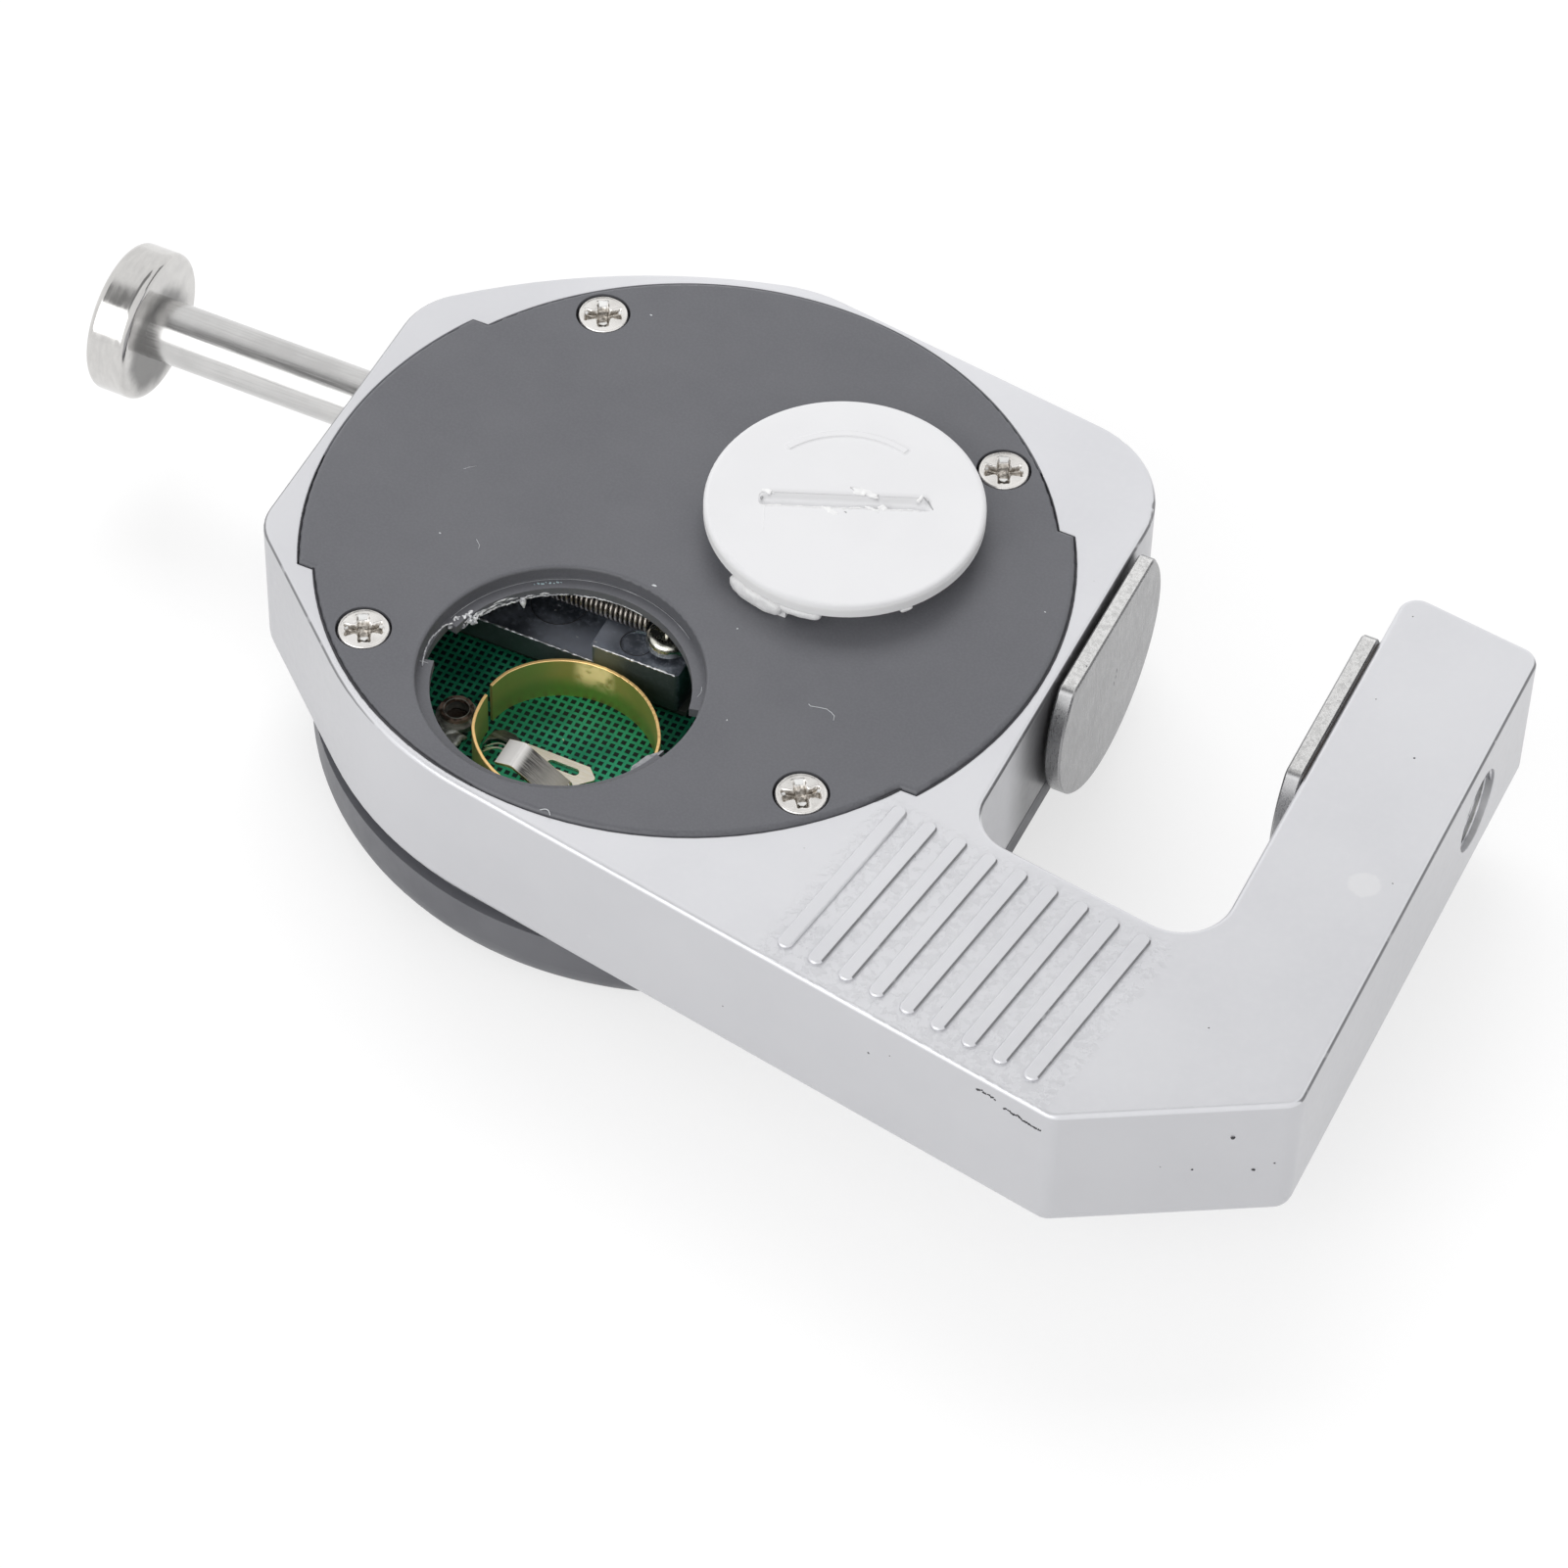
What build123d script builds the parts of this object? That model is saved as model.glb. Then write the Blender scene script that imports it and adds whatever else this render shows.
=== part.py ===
from build123d import *

import os
from math import cos, radians, sin, sqrt, tan

os.makedirs("parts", exist_ok=True)

# Digital thickness gauge with a round case, a C-shaped frame and a thumb plunger.
# Origin: centre of the round front face, which the gauge lies on. +X runs along the
# spindle from the plunger to the anvils, +Y out of the open throat, +Z out of the back.
# All sizes are in millimetres and degrees.

# Case
cover_radius = 22.5
side_wall = 1.7               # frame outside the cover's circle, left and throat side
frame_thickness = 10.3
case_depth = 5.2              # front housing, from its face to the frame
cover_lug_wall = 0.7          # thinnest rim beside the two wide stretches of the cover
cover_lug_half = 11.4         # half height of each wide stretch
cover_thickness = 1.6
cover_proud = 0.2
cover_gap = 0.1
cover_edge_round = 0.3
cover_ledge = 2.9             # width of the shelf that the cover rests on

# Frame outline
top_rim_wall = 0.4            # thinnest rim beside the cover, upper edge
grip_rim_wall = 0.5           # thinnest rim beside the cover, lower edge
top_edge_slope = 7.84
grip_edge_slope = 9.4
left_edge_slope = 41.1
left_corner_y = 11.4
peak_x = -2.4
shoulder_arc_radius = 43.0
throat_width = 16.0
throat_floor_slope = 8.13
throat_floor_y = -14.6        # at the arm's inner wall
arm_width = 9.1
arm_end_y = 16.4              # at the arm's inner wall
arm_end_slope = 7.5
heel_y = -22.5
heel_chamfer_width = 12.2
frame_edge_round = 0.3        # round the back
frame_foot_round = 1.2        # round the front, beside the housing
left_corner_round = 4.8
lower_corner_round = 3.1
peak_round = 10.0
throat_corner_round = 7.0
throat_root_round = 2.8
arm_root_round = 3.2
arm_tip_round = 1.25
heel_round = 1.3
screw_boss_radius = 2.1

# Grip ribs on the back of the frame, below the throat
rib_count = 9
rib_length = 12.7
rib_width = 1.0
rib_height = 0.22
rib_pitch = 2.09
rib_row_slope = 8.5
rib_field_shift = 3.3         # middle of the row past the throat wall
rib_field_drop = 5.6          # middle of the row below the throat floor
rib_edge_bevel = 0.1

# Cover screws, which clamp cover, frame and front housing together
screw_inset = 2.1             # screw axis inside the cover's edge
screw_angles = (45.0, 131.0, 225.0, 315.0)
screw_head_radius = 1.5
screw_head_height = 0.8
screw_shank_radius = 0.9
screw_length = 12.6
screw_clearance = 0.15
screw_head_gap = 0.2
cross_length = 2.0
cross_width = 0.5
cross_depth = 0.55

# Spindle, plunger and anvils
spindle_y = 6.0
spindle_depth = 4.65          # spindle axis below the back of the frame
spindle_radius = 2.0
spindle_running_gap = 0.02
rod_outside = 15.7            # bare rod between the frame and the plunger cap
cap_radius = 4.85
cap_thickness = 2.8
cap_edge_round = 0.5
cap_socket_depth = 1.5
anvil_radius = 7.6
anvil_thickness = 1.05
anvil_corner_round = 0.7
anvil_edge_bevel = 0.12
anvil_frame_gap = 0.3
anvil_socket_depth = 0.6
anvil_socket_radius = 1.2
jaw_opening = 13.5
closing_gap = 0.02
fixed_anvil_stem_radius = 2.0
fixed_anvil_shoulder_radius = 2.6
anvil_screw_hole_radius = 2.65
anvil_screw_hole_depth = 3.4
anvil_screw_head_radius = 2.4
anvil_screw_head_height = 1.8
anvil_screw_radius = 1.25
anvil_screw_grip = 3.5
hex_key_across = 2.0
hex_key_depth = 1.1

# Spindle bushes
bush_wall = 0.8
bush_lip = 0.6
bush_lip_gap = 0.25

# Carriage, its guide rod and the return spring
carriage_left_gap = 4.5       # to the left bush
carriage_end_gap = 1.4        # to the right wall of the cavity with the spindle pressed in
carriage_ring_gap = 0.5       # to the battery ring
carriage_far_y = 9.4
carriage_depth = 7.5          # underside below the back of the frame
carriage_deck = 1.7           # thickness of the low deck
carriage_pad = 1.45           # extra height of the raised pad at its right end
carriage_pad_length = 5.9
carriage_block_half = 3.4     # the tall block reaches this far past the spindle's axis
carriage_block_gap = 0.5      # under the back cover
carriage_edge_round = 0.3
mark_radius = 1.75            # round marks of the casting's ejector pins
mark_depth = 0.12
mark_from_left = 5.66
mark_from_edge = 3.34
small_mark_radius = 1.0
small_mark_from_right = 3.42
small_mark_from_edge = 1.35
ear_wall_gap = 2.8
ear_length = 5.8
ear_margin = 1.8
guide_rod_inset = 2.52        # from the upper cover screws' axes
guide_rod_radius = 0.8
guide_rod_gap = 0.05
guide_rod_seat = 1.2
clamp_screw_x = -5.0
clamp_screw_radius = 0.8
clamp_screw_head_radius = 1.4
clamp_screw_head_height = 0.8
clamp_screw_sunk = 0.4
hook_from_edge = 2.05         # axes of the spring's two screws inside the carriage's near edge
hook_shift = 0.63             # spring axis farther in than its two screws
spring_lift = 0.06            # spring and its eyes above the carriage's pad
spring_radius = 0.78
spring_wire = 0.25
anchor_inset = 2.7            # fixed end of the spring inside the cavity's wall
spring_screw_inset = 1.6      # moving end of the spring inside the carriage's right end
pan_head_radius = 1.4
pan_head_height = 0.9
pan_head_round = 0.5
pan_cross_length = 1.8
pan_cross_width = 0.35
pan_cross_depth = 0.45
pan_shank_radius = 0.65
pan_shank_length = 2.6
pan_head_gap = 0.05           # pan head above the spring's eye
spring_eye_gap = 0.1
spring_lug_half = 2.1
spring_lug_depth = 2.8
spring_lug_reach = 2.4

# Slider board under the carriage
slider_thickness = 0.4
slider_overhang = 0.5         # past the carriage's two ends
slider_near_inset = 0.2
slider_far_inset = 0.8

# Front housing
housing_inset = 1.15           # inside the frame's left and throat walls
housing_wall = 1.5
housing_face = 1.6
housing_edge_round = 2.4
shadow_groove_height = 0.4
shadow_groove_depth = 0.7
housing_boss_radius = 2.2
post_radius = 1.7
post_inset = 2.4              # post axis inside the cavity's wall
post_angles = (20.3, 171.6, 330.5)

# Main board
board_depth = 8.15            # its back side below the back of the frame
board_thickness = 0.8
board_side_gap = 0.3
board_screw_radius = 0.7
board_screw_head_radius = 1.3
board_screw_head_height = 0.15
board_screw_length = 2.6

# Battery well
well_x = -2.25
well_inset = 10.0             # well axis inside the cover's edge
well_rim_radius = 8.62
well_rim_round = 0.2
well_rim_depth = 0.95
well_throat_radius = 7.8
well_relief = 0.9             # frame cut away round the throat
notch_radius = 8.4
notch_spans = ((-17.0, 13.0), (170.0, 192.0))
ring_inner_radius = 5.8
ring_thickness = 0.2
ring_height = 3.25
ring_slit = 0.5
ring_slit_angle = 168.0
leaf_thickness = 0.2
leaf_reach = 2.3              # base's pointed end right of the well's axis
leaf_base_shift = -0.2        # base's middle line from the well's axis
leaf_base_length = 4.85
leaf_base_width = 1.5
leaf_point = 0.65
leaf_slot_length = 2.1
leaf_slot_width = 0.55
leaf_slot_inset = 2.1         # slot's middle from the pointed end
leaf_web = 0.9                # joins base and tongue
leaf_tongue_gap = 0.4
leaf_tongue_width = 2.0
leaf_fold = 1.25              # corner of the fold, from the web's left edge
leaf_bend = 0.3
leaf_crest = 2.45             # tongue's highest place, back from the web's left edge
leaf_rise = 2.7
leaf_tip = 1.05               # tongue's end, turned down past the crest
leaf_tip_drop = 0.2
eyelet_shift = (-7.4, 0.6)    # from the well's axis
eyelet_radius = 1.05
eyelet_bore = 0.75
eyelet_height = 0.9
eyelet_flange = 1.3
eyelet_flange_thickness = 0.4

# Battery door, lying loose on the back cover
door_x = 7.7
door_y = 5.8
door_turn = 23.4
door_rim_gap = 0.07           # door in the well's rim, when it is screwed in
door_boss_gap = 0.5
door_lug_gap = 0.1
door_disc = 0.9
door_height = 2.2
door_boss_wall = 1.2
door_edge_round = 0.35
door_rest_gap = 0.02
door_lug_spans = ((219.6, 246.6), (39.6, 66.6))
door_step_spans = ((246.6, 261.6), (66.6, 81.6))
door_step = 0.5
coin_slot_length = 10.4
coin_slot_width = 1.1
coin_slot_depth = 0.6
coin_slot_corner = 0.35
door_arc_radius = 5.8
door_arc_width = 0.4
door_arc_height = 0.08
door_arc_span = 80.0

# Display and buttons in the front face
window_y = 7.0
window_height = 11.0
window_thickness = 1.0
window_recess = 0.2
window_corner = 1.0
window_gap = 0.1
window_rim = 1.3              # blind edge round the view opening
display_margin = 0.2          # display glass past the window
display_thickness = 1.5
display_gap = 0.1
holder_wall = 0.9
holder_boss_gap = 0.5
zebra_width = 1.5
zebra_end_gap = 1.2
button_boss_gap = 1.95        # between the outer buttons' flanges and the screw bosses
button_post_gap = 0.5701        # between an outer button's flange and the post beside it, along x
button_radius = 2.5
button_gap = 0.1
button_recess = 0.1
button_stem_radius = 1.0
button_flange = 3.1
button_flange_thickness = 0.6
button_flange_gap = 0.05
button_travel = 0.4
switch_radius = 2.0
switch_height = 0.4
switch_gap = 0.05             # left between stem and switch with the button pressed
switch_bevel = 0.25
chip_radius = 3.2
chip_height = 1.0
chip_round = 0.8
chip_y = 6.0

# Places worked out from the sizes above
frame_bottom = case_depth
frame_top = frame_bottom + frame_thickness
frame_half_width = cover_radius + side_wall
cover_lug_radius = frame_half_width - cover_lug_wall - cover_gap
cover_top = frame_top + cover_proud
cover_bottom = cover_top - cover_thickness
cavity_radius = cover_radius - cover_ledge
housing_radius = frame_half_width - housing_inset
spindle_z = frame_top - spindle_depth
bush_radius = spindle_radius + bush_wall
arm_inner_x = frame_half_width + throat_width
arm_outer_x = arm_inner_x + arm_width
top_edge_distance = cover_radius + cover_gap + top_rim_wall
grip_edge_distance = cover_radius + cover_gap + grip_rim_wall
board_top = frame_top - board_depth
board_bottom = board_top - board_thickness
moving_anvil_x = frame_half_width + anvil_frame_gap
fixed_anvil_x = moving_anvil_x + anvil_thickness + jaw_opening
travel = jaw_opening - closing_gap
cap_inner_x = -frame_half_width - rod_outside
cavity_wall_x = sqrt(cavity_radius**2 - (spindle_y + bush_radius) ** 2)
well_y = well_inset - cover_radius
carriage_left_x = carriage_left_gap - cavity_wall_x
carriage_right_x = sqrt(cavity_radius**2 - carriage_far_y**2) - travel - carriage_end_gap
carriage_length = carriage_right_x - carriage_left_x
carriage_near_y = well_y + ring_inner_radius + ring_thickness + carriage_ring_gap
carriage_bottom_z = frame_top - carriage_depth
deck_top = carriage_bottom_z + carriage_deck
pad_top = deck_top + carriage_pad
block_top = cover_bottom - carriage_block_gap
block_near_y = spindle_y - carriage_block_half
screw_circle_radius = cover_radius - screw_inset
screw_places = [
    (screw_circle_radius * cos(radians(a)), screw_circle_radius * sin(radians(a))) for a in screw_angles
]
guide_rod_y = min(y for x, y in screw_places if y > 0) - guide_rod_inset
guide_rod_half = sqrt(cavity_radius**2 - guide_rod_y**2) + guide_rod_seat
ear_far_y = guide_rod_y + ear_margin
ear_left_x = ear_wall_gap - sqrt(cavity_radius**2 - ear_far_y**2)
hook_y = carriage_near_y + hook_from_edge
eye_bottom = pad_top + spring_lift
spring_y = hook_y + hook_shift
spring_z = eye_bottom + spring_radius
pan_head_bottom = eye_bottom + spring_wire + pan_head_gap
spring_left_x = anchor_inset - cavity_radius
spring_right_x = carriage_right_x - spring_screw_inset
post_circle_radius = cavity_radius - post_inset
post_places = [
    (post_circle_radius * cos(radians(a)), post_circle_radius * sin(radians(a))) for a in post_angles
]
holder_width = 2 * (max(x for x, y in screw_places) - housing_boss_radius - holder_boss_gap)
display_width = holder_width - 2 * (display_gap + holder_wall)
display_height = window_height + 2 * display_margin
window_width = display_width - 2 * display_margin
boss_x, boss_y = screw_places[-1]
button_reach = housing_boss_radius + button_flange + button_boss_gap
button_spacing = post_places[-1][0] - post_radius - button_flange - button_post_gap
button_y = boss_y + sqrt(button_reach**2 - (boss_x - button_spacing) ** 2)
button_places = [(step * button_spacing, button_y) for step in (-1, 0, 1)]
door_radius = well_rim_radius - door_rim_gap
door_boss_radius = well_throat_radius - door_boss_gap
door_lug_radius = notch_radius - door_lug_gap


def on_axis(x):
    """Plane across the spindle axis at a given x, with its own x along +Y."""
    return Plane(origin=(x, spindle_y, spindle_z), x_dir=(0, 1, 0), z_dir=(1, 0, 0))


def on_guide(x):
    """Plane across the guide rod's axis at a given x."""
    return Plane(origin=(x, guide_rod_y, spindle_z), x_dir=(0, 1, 0), z_dir=(1, 0, 0))


def on_spring(x):
    """Plane across the spring's axis at a given x."""
    return Plane(origin=(x, spring_y, spring_z), x_dir=(0, 1, 0), z_dir=(1, 0, 0))


def grip_edge_y(x):
    """Height of the long lower edge of the frame at a given x."""
    slope = radians(grip_edge_slope)
    return -(grip_edge_distance + x * sin(slope)) / cos(slope)


def top_edge_y(x):
    """Height of the upper edge of the frame at a given x."""
    slope = radians(top_edge_slope)
    return (top_edge_distance - x * sin(slope)) / cos(slope)


def on_rim(slope):
    """Point where a lower edge of the given slope touches the round part of the frame."""
    return (-grip_edge_distance * sin(radians(slope)), -grip_edge_distance * cos(radians(slope)))


def cover_outline(gap):
    """Round back cover with its two wider stretches, grown all round by a gap."""
    with BuildSketch() as wide:
        Circle(cover_lug_radius + gap)
        Rectangle(4 * cover_lug_radius, 2 * (cover_lug_half + gap), mode=Mode.INTERSECT)
    with BuildSketch() as outline:
        Circle(cover_radius + gap)
        add(wide.sketch)
    return outline.sketch


def ring_sector(inner, outer, start, end):
    """Part of a flat ring between two angles."""
    reach = 2 * outer
    middle = radians((start + end) / 2)
    with BuildSketch() as sector:
        with BuildLine():
            first = (reach * cos(radians(start)), reach * sin(radians(start)))
            last = (reach * cos(radians(end)), reach * sin(radians(end)))
            far = (2 * reach * cos(middle), 2 * reach * sin(middle))
            Polyline((0, 0), first, far, last, close=True)
        make_face()
        Circle(outer, mode=Mode.INTERSECT)
        Circle(inner, mode=Mode.SUBTRACT)
    return sector.sketch


def anvil_outline():
    """Round anvil cut flat level with the back of the frame, its two corners rounded."""
    with BuildSketch() as outline:
        Circle(anvil_radius)
        with Locations((0, frame_top - spindle_z + anvil_radius)):
            Rectangle(4 * anvil_radius, 2 * anvil_radius, mode=Mode.SUBTRACT)
        fillet(outline.vertices(), anvil_corner_round)
    return outline.sketch


# Frame: C-shaped casting with the case cavity, the cover recess and the grip ribs
lower_left = (
    -frame_half_width,
    -(grip_edge_distance - frame_half_width * sin(radians(left_edge_slope))) / cos(radians(left_edge_slope)),
)
upper_left = (-frame_half_width, left_corner_y)
peak = (peak_x, top_edge_y(peak_x))
throat_corner = (frame_half_width, top_edge_y(frame_half_width))
throat_root = (frame_half_width, throat_floor_y + throat_width * tan(radians(throat_floor_slope)))
arm_root = (arm_inner_x, throat_floor_y)
arm_tip = (arm_inner_x, arm_end_y)
arm_outer_tip = (arm_outer_x, arm_end_y - arm_width * tan(radians(arm_end_slope)))
heel = (arm_outer_x, heel_y)
toe = (arm_outer_x - heel_chamfer_width, grip_edge_y(arm_outer_x - heel_chamfer_width))
corner_rounds = (
    (upper_left, left_corner_round),
    (peak, peak_round),
    (throat_corner, throat_corner_round),
    (throat_root, throat_root_round),
    (arm_root, arm_root_round),
    (arm_tip, arm_tip_round),
    (arm_outer_tip, arm_tip_round),
    (heel, heel_round),
    (toe, heel_round),
    (lower_left, lower_corner_round),
)

with BuildPart() as frame:
    with BuildSketch(Plane.XY.offset(frame_bottom)) as frame_outline:
        with BuildLine():
            RadiusArc(upper_left, peak, shoulder_arc_radius)
            Polyline(peak, throat_corner, throat_root, arm_root, arm_tip, arm_outer_tip, heel, toe)
            Line(toe, on_rim(grip_edge_slope))
            RadiusArc(on_rim(grip_edge_slope), on_rim(left_edge_slope), grip_edge_distance)
            Polyline(on_rim(left_edge_slope), lower_left, upper_left)
        make_face()
        for corner, size in corner_rounds:
            fillet(frame_outline.vertices().sort_by_distance((*corner, frame_bottom))[0], size)
    extrude(amount=frame_thickness)
    fillet(frame.faces().sort_by(Axis.Z)[-1].edges(), frame_edge_round)
    fillet(frame.faces().sort_by(Axis.Z)[0].edges(), frame_foot_round)
    # Recess for the back cover
    with BuildSketch(Plane.XY.offset(cover_bottom)):
        add(cover_outline(cover_gap))
    extrude(amount=cover_thickness, mode=Mode.SUBTRACT)
    # Case cavity, wider below the battery well, with a boss left standing round each cover screw
    with BuildSketch(Plane.XY.offset(frame_bottom)):
        Circle(cavity_radius)
        with Locations((well_x, well_y)):
            Circle(well_throat_radius + well_relief)
        with Locations(*screw_places):
            Circle(screw_boss_radius, mode=Mode.SUBTRACT)
    extrude(amount=frame_thickness, mode=Mode.SUBTRACT)
    with BuildSketch(Plane.XY.offset(frame_bottom)):
        with Locations(*screw_places):
            Circle(screw_shank_radius + screw_clearance)
    extrude(amount=frame_thickness, mode=Mode.SUBTRACT)
    # Lug inside the left wall that holds the spring's fixed end
    lug_inner_x = spring_left_x + spring_lug_reach
    lug_outer_x = -(cavity_radius + housing_wall / 2)
    with BuildSketch(Plane.XY.offset(pad_top - spring_lug_depth)):
        with Locations(((lug_inner_x + lug_outer_x) / 2, hook_y)):
            Rectangle(lug_inner_x - lug_outer_x, 2 * spring_lug_half)
    extrude(amount=spring_lug_depth)
    with BuildSketch(Plane.XY.offset(pad_top - spring_lug_depth)):
        with Locations((spring_left_x, hook_y)):
            Circle(pan_shank_radius)
    extrude(amount=spring_lug_depth, mode=Mode.SUBTRACT)
    # Spindle bores: a narrow lip outside and a bush seat inside, at both walls
    for side in (-1, 1):
        with BuildSketch(on_axis(side * (frame_half_width + 1))):
            Circle(spindle_radius + bush_lip_gap)
        extrude(amount=-side * (frame_half_width + 1 - cavity_wall_x), mode=Mode.SUBTRACT)
        with BuildSketch(on_axis(side * (frame_half_width - bush_lip))):
            Circle(bush_radius)
        extrude(amount=-side * (frame_half_width - bush_lip - cavity_wall_x + 1), mode=Mode.SUBTRACT)
    # Blind seats for the guide rod
    with BuildSketch(on_guide(-guide_rod_half)):
        Circle(guide_rod_radius)
    extrude(amount=2 * guide_rod_half, mode=Mode.SUBTRACT)
    # Fixed anvil's stem bore and the screw's counterbore in the arm
    with BuildSketch(on_axis(arm_inner_x - 1)):
        Circle(fixed_anvil_stem_radius)
    extrude(amount=arm_width + 2, mode=Mode.SUBTRACT)
    with BuildSketch(on_axis(arm_outer_x - anvil_screw_hole_depth)):
        Circle(anvil_screw_hole_radius)
    extrude(amount=anvil_screw_hole_depth + 1, mode=Mode.SUBTRACT)
    # Grip ribs
    rib_field = (frame_half_width + rib_field_shift, throat_floor_y - rib_field_drop)
    with BuildSketch(Plane.XY.offset(frame_top)):
        with Locations(Location(rib_field, -rib_row_slope)):
            with GridLocations(rib_pitch, 0, rib_count, 1):
                SlotOverall(rib_length, rib_width, rotation=90)
    extrude(amount=rib_height)
    rib_tops = frame.faces().filter_by(Axis.Z).sort_by(Axis.Z)[-rib_count:]
    chamfer(rib_tops.edges(), rib_edge_bevel)
frame.part.label = "frame"

# Back cover: flush round plate with screw holes and the battery well's bayonet mouth
with BuildPart() as back_cover:
    with BuildSketch(Plane.XY.offset(cover_bottom)):
        add(cover_outline(0))
    extrude(amount=cover_thickness)
    fillet(back_cover.faces().sort_by(Axis.Z)[-1].edges(), cover_edge_round)
    with BuildSketch(Plane.XY.offset(cover_bottom)):
        with Locations(*screw_places):
            Circle(screw_shank_radius + screw_clearance)
        with Locations((well_x, well_y)):
            Circle(well_throat_radius)
            for start, end in notch_spans:
                add(ring_sector(well_throat_radius / 2, notch_radius, start, end))
    extrude(amount=cover_thickness, mode=Mode.SUBTRACT)
    with BuildSketch(Plane.XY.offset(cover_top - screw_head_height)):
        with Locations(*screw_places):
            Circle(screw_head_radius + screw_head_gap)
    extrude(amount=screw_head_height, mode=Mode.SUBTRACT)
    with BuildSketch(Plane.XY.offset(cover_top - well_rim_depth)):
        with Locations((well_x, well_y)):
            Circle(well_rim_radius)
    extrude(amount=well_rim_depth, mode=Mode.SUBTRACT)
    rim_circle = (
        back_cover.edges()
        .filter_by(GeomType.CIRCLE)
        .filter_by(lambda e: abs(e.radius - well_rim_radius) < 0.01)
        .sort_by(Axis.Z)[-1]
    )
    fillet(rim_circle, well_rim_round)
back_cover.part.label = "back_cover"

# Four cover screws with a cross recess
with BuildPart() as cover_screws:
    with BuildSketch(Plane.XY.offset(cover_top - screw_head_height)):
        with Locations(*screw_places):
            Circle(screw_head_radius)
    extrude(amount=screw_head_height)
    with BuildSketch(Plane.XY.offset(cover_top - screw_length)):
        with Locations(*screw_places):
            Circle(screw_shank_radius)
    extrude(amount=screw_length - screw_head_height)
    with BuildSketch(Plane.XY.offset(cover_top - cross_depth)):
        with Locations(*screw_places):
            Rectangle(cross_length, cross_width)
            Rectangle(cross_width, cross_length)
    extrude(amount=cross_depth, mode=Mode.SUBTRACT)
cover_screws.part.label = "cover_screws"

# Front housing: shallow round shell with bosses, posts, display pocket and button holes
with BuildPart() as front_housing:
    with BuildSketch():
        Circle(housing_radius)
    extrude(amount=case_depth)
    fillet(front_housing.faces().sort_by(Axis.Z)[0].edges(), housing_edge_round)
    with BuildSketch(Plane.XY.offset(case_depth - shadow_groove_height)):
        Circle(housing_radius)
        Circle(housing_radius - shadow_groove_depth, mode=Mode.SUBTRACT)
    extrude(amount=shadow_groove_height, mode=Mode.SUBTRACT)
    with BuildSketch(Plane.XY.offset(housing_face)):
        Circle(housing_radius - housing_wall)
        with Locations(*screw_places):
            Circle(housing_boss_radius, mode=Mode.SUBTRACT)
    extrude(amount=case_depth - housing_face, mode=Mode.SUBTRACT)
    with BuildSketch(Plane.XY.offset(housing_face)):
        with Locations(*post_places):
            Circle(post_radius)
    extrude(amount=board_bottom - housing_face)
    # Pilot holes take the screws' own threads
    with BuildSketch(Plane.XY.offset(cover_top - screw_length)):
        with Locations(*screw_places):
            Circle(screw_shank_radius)
    extrude(amount=screw_length, mode=Mode.SUBTRACT)
    with BuildSketch(Plane.XY.offset(board_top - board_screw_length)):
        with Locations(*post_places):
            Circle(board_screw_radius)
    extrude(amount=board_screw_length, mode=Mode.SUBTRACT)
    # Display window's pocket and view opening
    with BuildSketch():
        with Locations((0, window_y)):
            RectangleRounded(
                window_width + 2 * window_gap, window_height + 2 * window_gap, window_corner + window_gap
            )
    extrude(amount=window_recess + window_thickness, mode=Mode.SUBTRACT)
    with BuildSketch():
        with Locations((0, window_y)):
            Rectangle(window_width - 2 * window_rim, window_height - 2 * window_rim)
    extrude(amount=housing_face, mode=Mode.SUBTRACT)
    with BuildSketch():
        with Locations(*button_places):
            Circle(button_radius + button_gap)
    extrude(amount=housing_face, mode=Mode.SUBTRACT)
front_housing.part.label = "front_housing"

# Clear display window
with BuildPart() as display_window:
    with BuildSketch(Plane.XY.offset(window_recess)):
        with Locations((0, window_y)):
            RectangleRounded(window_width, window_height, window_corner)
    extrude(amount=window_thickness)
display_window.part.label = "display_window"

# Display glass behind the window
with BuildPart() as display_panel:
    with BuildSketch(Plane.XY.offset(housing_face)):
        with Locations((0, window_y)):
            Rectangle(display_width, display_height)
    extrude(amount=display_thickness)
display_panel.part.label = "display_panel"

# Holder frame that keeps the glass against the face
with BuildPart() as display_holder:
    with BuildSketch(Plane.XY.offset(housing_face)):
        with Locations((0, window_y)):
            Rectangle(holder_width, display_height + 2 * (display_gap + holder_wall))
            Rectangle(display_width + 2 * display_gap, display_height + 2 * display_gap, mode=Mode.SUBTRACT)
    extrude(amount=board_bottom - housing_face)
display_holder.part.label = "display_holder"

# Elastomer strip that joins the glass to the board
with BuildPart() as zebra_strip:
    with BuildSketch(Plane.XY.offset(housing_face + display_thickness)):
        with Locations((0, window_y + (display_height - zebra_width) / 2)):
            Rectangle(display_width - 2 * zebra_end_gap, zebra_width)
    extrude(amount=board_bottom - housing_face - display_thickness)
zebra_strip.part.label = "zebra_strip"

# Main board, inside the cavity and notched round the frame's screw bosses
with BuildPart() as main_board:
    with BuildSketch(Plane.XY.offset(board_bottom)):
        Circle(cavity_radius - board_side_gap)
        with Locations(*screw_places):
            Circle(screw_boss_radius + board_side_gap, mode=Mode.SUBTRACT)
        with Locations(*post_places):
            Circle(board_screw_radius, mode=Mode.SUBTRACT)
    extrude(amount=board_thickness)
main_board.part.label = "main_board"

# Three low-headed screws that hold the board on its posts
with BuildPart() as board_screws:
    with BuildSketch(Plane.XY.offset(board_top - board_screw_length)):
        with Locations(*post_places):
            Circle(board_screw_radius)
    extrude(amount=board_screw_length)
    with BuildSketch(Plane.XY.offset(board_top)):
        with Locations(*post_places):
            Circle(board_screw_head_radius)
    extrude(amount=board_screw_head_height)
board_screws.part.label = "board_screws"

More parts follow.
